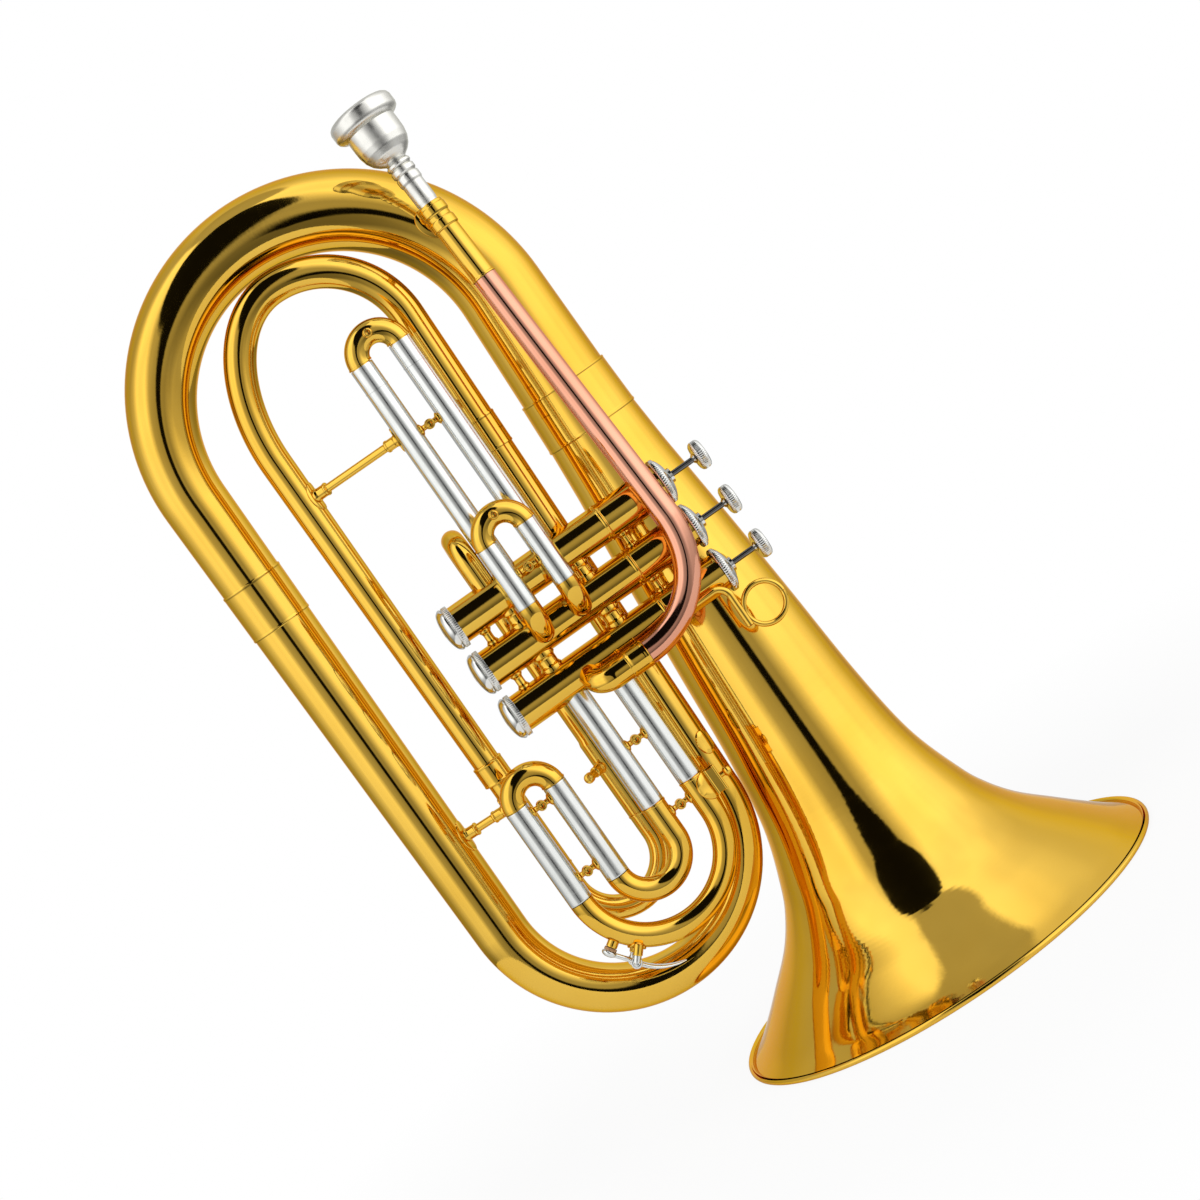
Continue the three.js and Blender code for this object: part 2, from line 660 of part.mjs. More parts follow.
function largeLoop() {
  const group = new THREE.Group();
  const tail = place(0, 0, BELL_LENGTH);
  const onBottom = (rise) => lerpPoint(bottomFront, bottomBack, bottomJointZ + rise);
  const onInner = (rise) => lerpPoint(innerFront, innerBack, innerJointZ + rise);
  const tailHalf = TAIL_FERRULE_LENGTH / 2;
  const bottomHalf = BOTTOM_FERRULE_LENGTH / 2;
  const innerHalf = INNER_FERRULE_LENGTH / 2;
  group.add(named('bell', bellGeometry(), lacquer()));
  const low = place(0, 0, BELL_LENGTH - tailHalf);
  group.add(named('bell_ferrule', ferrule(low, lerpPoint(tail, tailTop, BELL_LENGTH + tailHalf),
    bellRadiusAt(low.z), BELL_END_R), lacquer()));
  group.add(named('outer_bow', outerBow(), lacquer()));
  group.add(named('bottom_ferrule', ferrule(onBottom(-bottomHalf), onBottom(bottomHalf),
    bottomJointR, bottomJointR + RUN_GAP), lacquer()));
  group.add(named('bottom_branch', bottomBranch(), lacquer()));
  group.add(named('lower_bow', lowerBow(), lacquer()));
  group.add(named('inner_top_branch', innerTopBranch(), lacquer()));
  group.add(named('inner_top_ferrule', ferrule(onInner(-innerHalf), onInner(innerHalf),
    innerJointR + RUN_GAP, innerJointR), lacquer()));
  group.add(named('inner_bow', innerBow(), lacquer()));
  group.add(named('inner_bottom_branch', innerBottomBranch(), lacquer()));
  return group;
}

// Valves. Each is made along its own z, from the casing's lower end, and then turned to lie along X.

const level = (x) => x - casingLowX;
const sideways = new THREE.Vector3(1, 0, 0);

// The directions of the tubes that meet each casing, by height, in the casing's own frame.
// Its x runs down the instrument, so -1 is towards the tail and 1 towards the bell.
const towardsTail = sideways.clone().negate();
const inletSide = new THREE.Vector3(valveZ[2] - leadpipeDropZ, valveDepth - frontDepth, 0).normalize();
const SIDE_PORTS = [
  [[slide1X, towardsTail], [slide1X - SLIDE_LEG_SPACING, towardsTail], [outletX, towardsTail]],
  [[slide2X, TO_FRONT], [slide2X - SLIDE_LEG_SPACING, TO_FRONT]],
  [[slide3X, sideways], [slide3X - SLIDE_LEG_SPACING, sideways], [inletX, inletSide]],
];
const JOINED_SIDES = [[sideways], [towardsTail, sideways], [towardsTail]];

function portHole(x, direction, radius = PORT_BORE_R, reach = CASING_R) {
  const start = new THREE.Vector3(0, 0, level(x));
  return rod(start, start.clone().addScaledVector(direction, reach + CUT_OVERRUN), radius, SMALL_SIDES);
}

function casingShell() {
  const lip = CASING_LENGTH - CASING_LIP_DROP;
  return turned([[casingBoreR, 0], [CASING_R, 0], [CASING_R, lip - CASING_LIP_R],
    [CASING_R + CASING_LIP_R, lip], [CASING_R, lip + CASING_LIP_R], [CASING_R, CASING_LENGTH],
    [casingBoreR, CASING_LENGTH], [casingBoreR, 0]], BIG_SIDES);
}

// The waisted tubes and struts that join the middle casing to its neighbours.
function knuckle(x, radius, direction) {
  const gap = VALVE_SPACING - 2 * CASING_R;
  const waist = radius - WAIST_DEPTH;
  const inset = gap * WAIST_START_SHARE;
  const start = CASING_R - CASING_WALL / 2;
  const end = CASING_R + gap;
  const spool = turned([[0, start], [radius, start], [waist, CASING_R + inset], [waist, end - inset],
    [radius, end], [0, end]], SMALL_SIDES);
  return aim(spool, new THREE.Vector3(0, 0, level(x)), direction);
}

function casing(i) {
  const holes = SIDE_PORTS[i].map(([x, direction]) => portHole(x, direction));
  JOINED_SIDES[i].forEach((direction) => {
    holes.push(portHole(knuckleUpperX, direction, knuckleBoreR, VALVE_SPACING - CASING_R));
    holes.push(portHole(knuckleLowerX, direction, knuckleBoreR, VALVE_SPACING - CASING_R));
  });
  if (i !== 1) return cut(casingShell(), ...holes);
  const spools = JOINED_SIDES[i].flatMap((direction) => [
    knuckle(knuckleUpperX, KNUCKLE_R, direction),
    knuckle(knuckleLowerX, KNUCKLE_R, direction),
    knuckle(strutUpperX, STRUT_R, direction),
    knuckle(strutLowerX, STRUT_R, direction),
  ]);
  const neighbours = JOINED_SIDES[i].map((direction) => {
    const low = direction.clone().multiplyScalar(VALVE_SPACING);
    const clear = CASING_R + CASING_LIP_R + SEAT_GAP;
    return rod(low, low.clone().addScaledVector(UP, CASING_LENGTH), clear, BIG_SIDES);
  });
  return cut(join(casingShell(), ...spools), ...neighbours, ...holes);
}

function topCap() {
  const skirtR = CASING_R + SEAT_GAP;
  const band = TOP_CAP_BAND - TOP_CAP_SKIRT;
  const hub = band + TOP_CAP_DOME;
  return turned([[skirtR, -TOP_CAP_SKIRT], [TOP_CAP_R, -TOP_CAP_SKIRT], [TOP_CAP_R, band],
    [(TOP_CAP_R + TOP_CAP_HUB_R) / 2, band + TOP_CAP_DOME * CAP_DOME_SHARE], [TOP_CAP_HUB_R, hub],
    [TOP_CAP_HUB_R, hub + TOP_CAP_HUB], [stemHoleR, hub + TOP_CAP_HUB], [stemHoleR, SEAT_GAP],
    [skirtR, SEAT_GAP], [skirtR, -TOP_CAP_SKIRT]], BIG_SIDES);
}

function bottomCap() {
  const skirtR = CASING_R + SEAT_GAP;
  const domed = BOTTOM_CAP_RING_SHARES.map((share) => {
    const a = (share * Math.PI) / 2;
    return [BOTTOM_CAP_R * Math.sin(a), -BOTTOM_CAP_BAND - BOTTOM_CAP_DOME * Math.cos(a)];
  });
  return turned([[0, -BOTTOM_CAP_BAND - BOTTOM_CAP_DOME], ...domed, [BOTTOM_CAP_R, -BOTTOM_CAP_BAND],
    [BOTTOM_CAP_R, BOTTOM_CAP_SKIRT], [skirtR, BOTTOM_CAP_SKIRT], [skirtR, -SEAT_GAP],
    [0, -SEAT_GAP]], BIG_SIDES);
}

// A piston has a ported body and a spring barrel above it, slotted for the guide's tabs.
function piston() {
  const bodyTop = pistonLift + PISTON_BODY;
  const shell = turned([[0, pistonLift], [pistonR, pistonLift], [pistonR, barrelTop], [barrelBoreR, barrelTop],
    [barrelBoreR, bodyTop], [0, bodyTop]], BIG_SIDES);
  const passages = [knuckleUpperX, knuckleUpperX - STROKE, knuckleUpperX - 2 * STROKE].map((x, i) => {
    const direction = sideways.clone().applyAxisAngle(UP, i * PASSAGE_TURN);
    direction.multiplyScalar(pistonR + CUT_OVERRUN);
    const middle = new THREE.Vector3(0, 0, level(x));
    return rod(middle.clone().sub(direction), middle.clone().add(direction), PORT_BORE_R, WIRE_SIDES);
  });
  const slotHeight = STROKE + GUIDE_THICK + 2 * RUN_GAP;
  const slot = new THREE.BoxGeometry(2 * (pistonR + CUT_OVERRUN), GUIDE_TAB + 2 * RUN_GAP, slotHeight);
  slot.translate(0, 0, guideLow - RUN_GAP + slotHeight / 2);
  return cut(shell, ...passages, slot);
}

function valveGuide() {
  const discR = barrelBoreR - RUN_GAP;
  const tabReach = Math.sqrt((casingBoreR * Math.cos(Math.PI / BIG_SIDES)) ** 2 - (GUIDE_TAB / 2) ** 2);
  const disc = turned([[0, 0], [discR, 0], [discR, GUIDE_THICK], [0, GUIDE_THICK]], TUBE_SIDES);
  const tabs = new THREE.BoxGeometry(2 * (tabReach - GUIDE_TAB_GAP), GUIDE_TAB, GUIDE_THICK);
  tabs.translate(0, 0, GUIDE_THICK / 2);
  return join(disc, tabs).translate(0, 0, guideLow);
}

function fingerButton() {
  const hubTop = CASING_LENGTH + TOP_CAP_BAND - TOP_CAP_SKIRT + TOP_CAP_DOME + TOP_CAP_HUB;
  const low = hubTop + STROKE + BUTTON_SPARE;
  const high = low + BUTTON_HEIGHT;
  const plugLow = barrelTop + SEAT_GAP;
  return turned([[0, plugLow], [pistonR, plugLow], [pistonR, CASING_LENGTH], [STEM_R, CASING_LENGTH],
    [STEM_R, low - BUTTON_DISH], [BUTTON_NECK_R, low], [BUTTON_R - BUTTON_EDGE, low],
    [BUTTON_R, low + BUTTON_EDGE], [BUTTON_R, high - BUTTON_EDGE], [BUTTON_R - BUTTON_EDGE, high],
    [BUTTON_NECK_R, high - BUTTON_DISH], [0, high - BUTTON_DISH]], TUBE_SIDES);
}

// A wire wound about z, with its ends left open. It prints its least gap to itself.
function coil(name, low, high, coilR, wireR, turns, steps, sides) {
  const count = turns * steps;
  const pitch = (high - low - 2 * wireR) / turns;
  const point = (i) => {
    const a = (2 * Math.PI * i) / steps;
    return new THREE.Vector3(coilR * Math.cos(a), coilR * Math.sin(a), low + wireR + (pitch * i) / steps);
  };
  const route = new Route(point(0), point(1).sub(point(-1)), wireR, 0);
  for (let i = 1; i <= count; i += 1) {
    route.heading.copy(point(i + 1)).sub(point(i - 1)).normalize();
    route.goTo(point(i));
  }
  const { stations } = route;
  const gaps = stations.flatMap((a, i) => stations.slice(i + steps - 1).map((b) => a.at.distanceTo(b.at)));
  console.log(name, 'least gap to itself', (Math.min(...gaps) - 2 * wireR).toFixed(2));
  return tube(route, sides);
}

function valveSpring(i) {
  const low = guideLow + GUIDE_THICK + SEAT_GAP;
  const high = barrelTop;
  const coilR = barrelBoreR - SPRING_SIDE_GAP - SPRING_WIRE_R;
  return coil(`valve_spring_${i + 1}`, low, high, coilR, SPRING_WIRE_R, SPRING_TURNS, WIRE_SIDES,
    VALVE_SPRING_SIDES);
}

function valve(i) {
  const group = new THREE.Group();
  const n = i + 1;
  group.position.set(casingLowX, -valveDepth, valveZ[i]);
  group.rotation.y = Math.PI / 2;
  group.add(named(`valve_casing_${n}`, casing(i), lacquer()));
  const cap = named(`top_cap_${n}`, topCap(), silver());
  cap.position.z = CASING_LENGTH;
  group.add(cap);
  group.add(named(`bottom_cap_${n}`, bottomCap(), silver()));
  group.add(named(`piston_${n}`, piston(), nickel()));
  group.add(named(`valve_guide_${n}`, valveGuide(), dull(0xe9e4d4)));
  group.add(named(`finger_button_${n}`, fingerButton(), silver()));
  group.add(named(`valve_spring_${n}`, valveSpring(i), steel()));
  return group;
}

// A slide's crook: a bow of full size whose legs step down to slip into the sleeves.
function crook(upper, lower, heading, outerR, gripLength, bowStart) {
  const innerR = outerR - SLEEVE_WALL - RUN_GAP;
  const bore = innerR - LEG_WALL;
  const back = heading.clone().negate();
  const route = new Route(upper.clone().addScaledVector(back, gripLength), heading, innerR, bore);
  route.goTo(upper).mark(outerR, bore);
  if (bowStart > 0) route.go(bowStart);
  route.bow(lower.clone().addScaledVector(heading, bowStart));
  if (bowStart > 0) route.goTo(lower);
  route.mark(innerR, bore).go(gripLength);
  return tube(route, TUBE_SIDES);
}

// The pull knob stands on the front of a crook, at the top of its bow.
function pullKnob(top, tubeR) {
  const stemStart = top.clone().addScaledVector(TO_FRONT, tubeR - LEG_WALL);
  const stemEnd = top.clone().addScaledVector(TO_FRONT, tubeR + KNOB_REACH - KNOB_R);
  return [rod(stemStart, stemEnd, KNOB_STEM_R), ball(stemEnd, KNOB_R)];
}

function crookWithKnob(upper, lower, heading, outerR, gripLength) {
  const bowR = upper.distanceTo(lower) / 2;
  const top = upper.clone().lerp(lower, 0.5).addScaledVector(heading, bowR);
  return join(crook(upper, lower, heading, outerR, gripLength, 0), ...pullKnob(top, outerR));
}

// A brace rod between two sleeves of one soldered pair, sunk into both walls.
function rungs(upper, lower, z, tubeR, wall) {
  const a = upper.clone().setZ(z);
  const b = lower.clone().setZ(z);
  const inward = b.clone().sub(a).normalize();
  const length = a.distanceTo(b) - 2 * tubeR;
  const sink = wall / 2 + tubeR - Math.sqrt(tubeR ** 2 - BRACE_FOOT_R ** 2);
  const inset = length * WAIST_START_SHARE;
  const turn = turned([[0, -sink], [BRACE_FOOT_R, -sink], [BRACE_FOOT_R, 0], [BRACE_ROD_R, inset],
    [BRACE_ROD_R, length - inset], [BRACE_FOOT_R, length], [BRACE_FOOT_R, length + sink],
    [0, length + sink]], SMALL_SIDES);
  const bore = (centre) => rod(centre.clone().addScaledVector(DOWN, 2 * BRACE_FOOT_R),
    centre.clone().addScaledVector(UP, 2 * BRACE_FOOT_R), tubeR - wall, TUBE_SIDES);
  return cut(aim(turn, a.clone().addScaledVector(inward, tubeR), inward), bore(a), bore(b));
}

function sleevePair(upper, lower, startZ, endZ, tubeR, braceZ) {
  const sleeve = (axis) => pipe(
    axis.clone().setZ(startZ), axis.clone().setZ(endZ), SLEEVE_WALL, tubeR, tubeR, TUBE_SIDES);
  return join(sleeve(upper), sleeve(lower), ...braceZ.map((z) => rungs(upper, lower, z, tubeR, SLEEVE_WALL)));
}

// First valve slide, which pulls towards the tail

const slide1Upper = place(slide1X, valveDepth, slide1TopZ);
const slide1Lower = place(slide1X - SLIDE_LEG_SPACING, valveDepth, slide1TopZ);

function firstSlide() {
  const group = new THREE.Group();
  const braceZ = slide1TopZ - SLIDE_1_BRACE_DROP;
  const sleeves = sleevePair(slide1Upper, slide1Lower, valveZ[0], slide1TopZ, SLEEVE_R, [braceZ]);
  const lift = UP.clone().multiplyScalar(SEAT_GAP);
  const bow = crookWithKnob(slide1Upper.clone().add(lift), slide1Lower.clone().add(lift), UP, SLEEVE_R, LEG_GRIP);
  group.add(named('slide_1_sleeves', cut(sleeves, casingRound(0)), nickel()));
  group.add(named('slide_1_crook', bow, lacquer()));
  return group;
}

// Second valve slide, in front of the casings

const slide2Upper = place(slide2X, frontDepth, slide2TopZ);
const slide2Lower = place(slide2X - SLIDE_LEG_SPACING, frontDepth, slide2TopZ);

function slide2Elbow(axis) {
  const bendR = SLIDE_2_RISE - SEAT_GAP;
  const route = new Route(axis.clone().setZ(slide2LowZ - SEAT_GAP), DOWN, SLIDE_2_SLEEVE_R,
    SLIDE_2_SLEEVE_R - SLEEVE_WALL);
  route.bend(TO_BACK, bendR, Math.PI / 2, ELBOW_STEPS);
  route.goTo(place(axis.x, valveDepth, valveZ[1]));
  return cut(tube(route, TUBE_SIDES), casingRound(1));
}

function secondSlide() {
  const group = new THREE.Group();
  const sleeves = sleevePair(slide2Upper, slide2Lower, slide2LowZ, slide2TopZ,
    SLIDE_2_SLEEVE_R, [slide2LowZ + SLIDE_2_BRACE_RISE]);
  const lift = UP.clone().multiplyScalar(SEAT_GAP);
  const bow = crookWithKnob(slide2Upper.clone().add(lift), slide2Lower.clone().add(lift), UP,
    SLIDE_2_SLEEVE_R, SLIDE_2_GRIP);
  group.add(named('slide_2_sleeves', sleeves, nickel()));
  group.add(named('slide_2_upper_elbow', slide2Elbow(slide2Upper), lacquer()));
  group.add(named('slide_2_lower_elbow', slide2Elbow(slide2Lower), lacquer()));
  group.add(named('slide_2_crook', bow, lacquer()));
  return group;
}

// Third valve slide: a loop folded back on itself, which pulls towards the bell

const slide3Upper = place(slide3X, valveDepth, slide3EndZ);
const slide3Lower = place(slide3X - SLIDE_LEG_SPACING, valveDepth, slide3EndZ);
const bendCentre = place(bendX, valveDepth, bendZ);
const loopUpper = place(bendX - SLIDE_3_BEND_DROP, valveDepth, bendZ);
const loopLower = place(bendX - outerBendR, valveDepth, bendZ);

function slide3Bend(from, to) {
  const bore = legR - LEG_WALL;
  const joint = from.clone().setZ(slide3EndZ - SEAT_GAP);
  const route = new Route(from.clone().setZ(slide3EndZ + LEG_GRIP), DOWN, legR, bore);
  route.goTo(joint).mark(SLEEVE_R, bore);
  route.goTo(from.clone().setZ(bendZ));
  route.bow(to);
  return tube(route, TUBE_SIDES);
}

function slide3Bends() {
  const brace = rungs(slide3Upper, slide3Lower, goldBraceZ, SLEEVE_R, LEG_WALL);
  const nippleStart = keyPoint(KEY_NIPPLE_DEG, bendSurfaceR - NIPPLE_SINK);
  const nippleEnd = keyPoint(KEY_NIPPLE_DEG, outerBendR + SLEEVE_R + NIPPLE_REACH);
  const nipple = rod(nippleStart, nippleEnd, NIPPLE_R);
  const drainEnd = keyPoint(KEY_NIPPLE_DEG, bendSurfaceR + NIPPLE_REACH + CUT_OVERRUN);
  const drain = rod(keyPoint(KEY_NIPPLE_DEG, outerBendR), drainEnd, NIPPLE_R / 2);
  return cut(join(slide3Bend(slide3Upper, loopLower), slide3Bend(slide3Lower, loopUpper), brace, nipple), drain);
}

function slide3Sleeves() {
  const braceZ = slide3EndZ + SLIDE_3_BRACE_RISE;
  const pair = sleevePair(slide3Upper, slide3Lower, valveZ[2], slide3EndZ, SLEEVE_R, [braceZ]);
  return cut(pair, casingRound(2));
}

function slide3LowerSleeves() {
  const start = bendZ + SEAT_GAP;
  const braces = [goldBraceZ, slide3LowerTopZ - SLIDE_3_LOWER_BRACE_DROP];
  return sleevePair(loopUpper, loopLower, start, slide3LowerTopZ, SLEEVE_R, braces);
}

function slide3Crook() {
  const upper = loopUpper.clone().setZ(slide3LowerTopZ + SEAT_GAP);
  const lower = loopLower.clone().setZ(slide3LowerTopZ + SEAT_GAP);
  return crook(upper, lower, UP, SLEEVE_R, SLIDE_3_LOWER_GRIP, 0);
}

function musicClipHolder() {
  const footX = slide3X + SLEEVE_R + SEAT_GAP;
  const z = goldBraceZ;
  const block = new THREE.BoxGeometry(HOLDER_HEIGHT, HOLDER_WIDTH, HOLDER_LENGTH);
  block.translate(footX + HOLDER_HEIGHT / 2, -valveDepth, z);
  const slot = new THREE.BoxGeometry(HOLDER_SLOT, HOLDER_SLOT, HOLDER_LENGTH + 2 * CUT_OVERRUN);
  slot.translate(footX + HOLDER_HEIGHT / 2, -valveDepth, z);
  const at = (x, dz = 0) => place(x, valveDepth, z + dz);
  const foot = rod(at(slide3X), at(footX + HOLDER_FLOOR), HOLDER_FOOT_R);
  const top = footX + HOLDER_HEIGHT;
  const screw = rod(at(top - HOLDER_FLOOR), at(top + HOLDER_HEAD_R), HOLDER_SCREW_R);
  const head = ball(at(top + HOLDER_HEAD_R + HOLDER_SCREW_R), HOLDER_HEAD_R);
  const leg = rod(at(slide3X, -HOLDER_LENGTH), at(slide3X, HOLDER_LENGTH), SLEEVE_R + SEAT_GAP, TUBE_SIDES);
  return cut(join(block, foot, screw, head), slot, leg);
}

// Water key. Its places are angles round the outer bend, from straight down, and radii from its centre.

const keyDirection = (degrees) => {
  const a = THREE.MathUtils.degToRad(degrees);
  return new THREE.Vector3(-Math.sin(a), 0, -Math.cos(a));
};
const keyPoint = (degrees, radius) => bendCentre.clone().addScaledVector(keyDirection(degrees), radius);
const bendSurfaceR = outerBendR + SLEEVE_R;
const pivotPoint = keyPoint(pivotDeg, bendSurfaceR + KEY_PIVOT_LIFT);

const keySpringLength = KEY_SPRING_TURNS * KEY_SPRING_PITCH + 2 * KEY_SPRING_WIRE_R;

function waterKeySaddle() {
  const earDepth = KEY_HUB_WIDTH / 2 + keySpringLength + 2 * RUN_GAP;
  const ears = [-1, 1].flatMap((side) => {
    const offset = TO_BACK.clone().multiplyScalar(side * (earDepth + KEY_EAR_THICK / 2));
    const half = TO_BACK.clone().multiplyScalar(KEY_EAR_THICK / 2);
    const eye = pivotPoint.clone().add(offset);
    return [rod(eye.clone().sub(half), eye.clone().add(half), KEY_EAR_R),
      rod(keyPoint(pivotDeg, outerBendR).add(offset), eye, KEY_EAR_THICK / 2, SMALL_SIDES)];
  });
  const reach = TO_BACK.clone().multiplyScalar(earDepth + KEY_EAR_THICK);
  const pin = rod(pivotPoint.clone().sub(reach), pivotPoint.clone().add(reach), KEY_PIN_R);
  const foot = rod(keyPoint(pivotDeg, outerBendR), keyPoint(pivotDeg, bendSurfaceR + KEY_EAR_THICK),
    earDepth + KEY_EAR_THICK, TUBE_SIDES);
  const stations = SADDLE_STEP_SHARES.map((share) => keyPoint(pivotDeg + share * SADDLE_SPREAD, outerBendR));
  const bendTube = new Route(stations[0], stations[1].clone().sub(stations[0]), SLEEVE_R + SEAT_GAP, 0);
  stations.slice(1).forEach((p, i) => {
    bendTube.heading.copy(p).sub(stations[i]).normalize();
    bendTube.goTo(p);
  });
  return cut(join(foot, ...ears, pin), tube(bendTube, TUBE_SIDES));
}

function waterKeyLever() {
  const capLow = bendSurfaceR + NIPPLE_REACH + CORK_THICK + 2 * SEAT_GAP;
  const capHigh = capLow + KEY_CAP_THICK;
  const cap = rod(keyPoint(KEY_NIPPLE_DEG, capLow), keyPoint(KEY_NIPPLE_DEG, capHigh), KEY_CAP_R, TUBE_SIDES);
  const half = TO_BACK.clone().multiplyScalar(KEY_HUB_WIDTH / 2);
  const hub = rod(pivotPoint.clone().sub(half), pivotPoint.clone().add(half), KEY_HUB_R, TUBE_SIDES);
  const armEnd = keyPoint(KEY_NIPPLE_DEG, capHigh);
  const tip = keyPoint(tipDeg, bendSurfaceR + KEY_PIVOT_LIFT + KEY_TIP_LIFT);
  const middle = keyPoint((pivotDeg + tipDeg) / 2, bendSurfaceR + KEY_PIVOT_LIFT + KEY_TIP_LIFT);
  const bars = [[pivotPoint, armEnd], [pivotPoint, middle], [middle, tip]].map(([a, b]) => rod(a, b, KEY_ARM_R));
  const pad = ball(tip, KEY_PAD_R);
  const pinHole = rod(pivotPoint.clone().addScaledVector(TO_BACK, -KEY_HUB_WIDTH),
    pivotPoint.clone().addScaledVector(TO_BACK, KEY_HUB_WIDTH), KEY_PIN_R + RUN_GAP);
  return cut(join(cap, hub, ...bars, ball(middle, KEY_ARM_R), pad), pinHole);
}

function waterKeyCork() {
  const low = bendSurfaceR + NIPPLE_REACH + SEAT_GAP;
  return rod(keyPoint(KEY_NIPPLE_DEG, low), keyPoint(KEY_NIPPLE_DEG, low + CORK_THICK), CORK_R);
}

function waterKeySpring() {
  const low = KEY_HUB_WIDTH / 2 + SEAT_GAP;
  const high = low + keySpringLength;
  const coilR = KEY_PIN_R + RUN_GAP + KEY_SPRING_WIRE_R;
  const wound = coil('water_key_spring', low, high, coilR, KEY_SPRING_WIRE_R, KEY_SPRING_TURNS,
    SMALL_SIDES, KEY_SPRING_SIDES);
  return aim(wound, pivotPoint, TO_BACK);
}

function thirdSlide() {
  const group = new THREE.Group();
  group.add(named('slide_3_sleeves', slide3Sleeves(), nickel()));
  group.add(named('slide_3_bends', slide3Bends(), lacquer()));
  group.add(named('slide_3_lower_sleeves', slide3LowerSleeves(), nickel()));
  group.add(named('slide_3_crook', slide3Crook(), lacquer()));
  group.add(named('music_clip_holder', musicClipHolder(), lacquer()));
  group.add(named('water_key_saddle', waterKeySaddle(), nickel()));
  group.add(named('water_key_lever', waterKeyLever(), nickel()));
  group.add(named('water_key_cork', waterKeyCork(), dull(0xa9825a)));
  group.add(named('water_key_spring', waterKeySpring(), steel()));
  return group;
}

// Return bow, crossover tube and main tuning slide

const crossoverTop = place(tuningX, INNER_DEPTH, valveZ[0] + RETURN_BOW_RUN);
const tuningUpper = place(tuningX, INNER_DEPTH, tuningJointZ);
const tuningLower = place(innerLowX, INNER_DEPTH, tuningJointZ);

function returnBow() {
  const start = place(outletX, valveDepth, valveZ[0]);
  const route = new Route(start, UP, CROSS_R, CROSS_R - SLEEVE_WALL);
  route.go(RETURN_BOW_RUN).bow(crossoverTop);
  return cut(tube(route, TUBE_SIDES), casingRound(0));
}

function crossover() {
  const top = crossoverTop.clone().addScaledVector(DOWN, SEAT_GAP);
  const sleeveTop = tuningUpper.clone().addScaledVector(UP, TUNING_GRIP + TUNING_SLEEVE_R);
  const route = new Route(top, DOWN, CROSS_R, CROSS_R - SLEEVE_WALL);
  route.goTo(sleeveTop.clone().addScaledVector(UP, TUNING_SLEEVE_R));
  route.goTo(sleeveTop, TUNING_SLEEVE_R, TUNING_SLEEVE_R - SLEEVE_WALL).goTo(tuningUpper);
  const root = tuningUpper.clone().addScaledVector(UP, REST_POST_RISE);
  const heading = loopUpper.clone().setZ(root.z).sub(root).normalize();
  const out = (distance) => root.clone().addScaledVector(heading, TUNING_SLEEVE_R + distance);
  const neck = out(REST_POST_REACH * REST_NECK_SHARE);
  const bore = rod(tuningUpper, sleeveTop, TUNING_SLEEVE_R - SLEEVE_WALL, TUBE_SIDES);
  const post = cut(rod(root, neck, REST_POST_R), bore);
  const tip = out(REST_POST_REACH);
  return join(tube(route, TUBE_SIDES), post, rod(neck, tip, REST_NECK_R), ball(tip, REST_BALL_R));
}

function tuningSleeve() {
  const low = tuningLower;
  const high = place(innerLowX, INNER_DEPTH, collarZ - halfGap);
  const collarR = INNER_END_R + RUN_GAP + FERRULE_WALL;
  const collarTop = place(innerLowX, INNER_DEPTH, collarZ + COLLAR_LENGTH / 2);
  const collarLow = place(innerLowX, INNER_DEPTH, collarZ - COLLAR_LENGTH / 2);
  const bore = TUNING_SLEEVE_R - SLEEVE_WALL;
  const route = new Route(low, UP, TUNING_SLEEVE_R, bore);
  route.goTo(collarLow).mark(collarR, bore);
  route.goTo(high, collarR, bore).mark(collarR, INNER_END_R + RUN_GAP);
  route.goTo(collarTop, collarR, INNER_END_R + RUN_GAP);
  return tube(route, TUBE_SIDES);
}

function tuningSlide() {
  const lift = DOWN.clone().multiplyScalar(SEAT_GAP);
  return crook(tuningUpper.clone().add(lift), tuningLower.clone().add(lift), DOWN, TUNING_SLEEVE_R,
    TUNING_GRIP, TUNING_BOW_RUN);
}

function tuningRun() {
  const group = new THREE.Group();
  group.add(named('return_bow', returnBow(), lacquer()));
  group.add(named('crossover_tube', crossover(), lacquer()));
  group.add(named('tuning_slide_sleeve', tuningSleeve(), lacquer()));
  group.add(named('tuning_slide', tuningSlide(), lacquer()));
  return group;
}

// Mouthpiece, receiver, leadpipe and its elbow

const mouth = place(MOUTH_X, MOUTH_DEPTH, leadpipeBendZ + MOUTH_RISE);
const overValves = place(LEADPIPE_X, frontDepth, leadpipeBendZ);
const pipeAxis = overValves.clone().sub(mouth).normalize();
const onAxis = (distance) => mouth.clone().addScaledVector(pipeAxis, distance);

function mouthpiece() {
  const shankLow = RECEIVER_TOP + SHANK_GRIP;
  const cup = CUP_LENGTH - RIM_THICK;
  const hollow = CUP_HOLLOW_SHARES.map(([down, radius]) => [RIM_BITE_R * radius, CUP_DEEP * down]);
  const outside = CUP_OUTSIDE_SHARES.map(([down, radius]) => [CUP_R * radius, RIM_THICK + cup * down]);
  const profile = [[THROAT_R, CUP_DEEP], ...hollow, [RIM_BITE_R, RIM_EDGE], [(RIM_BITE_R + RIM_OUTER_R) / 2, 0],
    [RIM_OUTER_R, 2 * RIM_EDGE], [RIM_OUTER_R, RIM_THICK - 2 * RIM_EDGE], [CUP_R, RIM_THICK], ...outside,
    [CUP_END_R, CUP_LENGTH], [COLLAR_NECK_R, CUP_LENGTH + COLLAR_NECK], [SHANK_R, CUP_LENGTH + COLLAR_END],
    [SHANK_R, RECEIVER_TOP], [SHANK_TIP_R, shankLow], [THROAT_R, shankLow], [THROAT_R, CUP_DEEP]];
  return aim(turned(profile, TUBE_SIDES), mouth, pipeAxis);
}

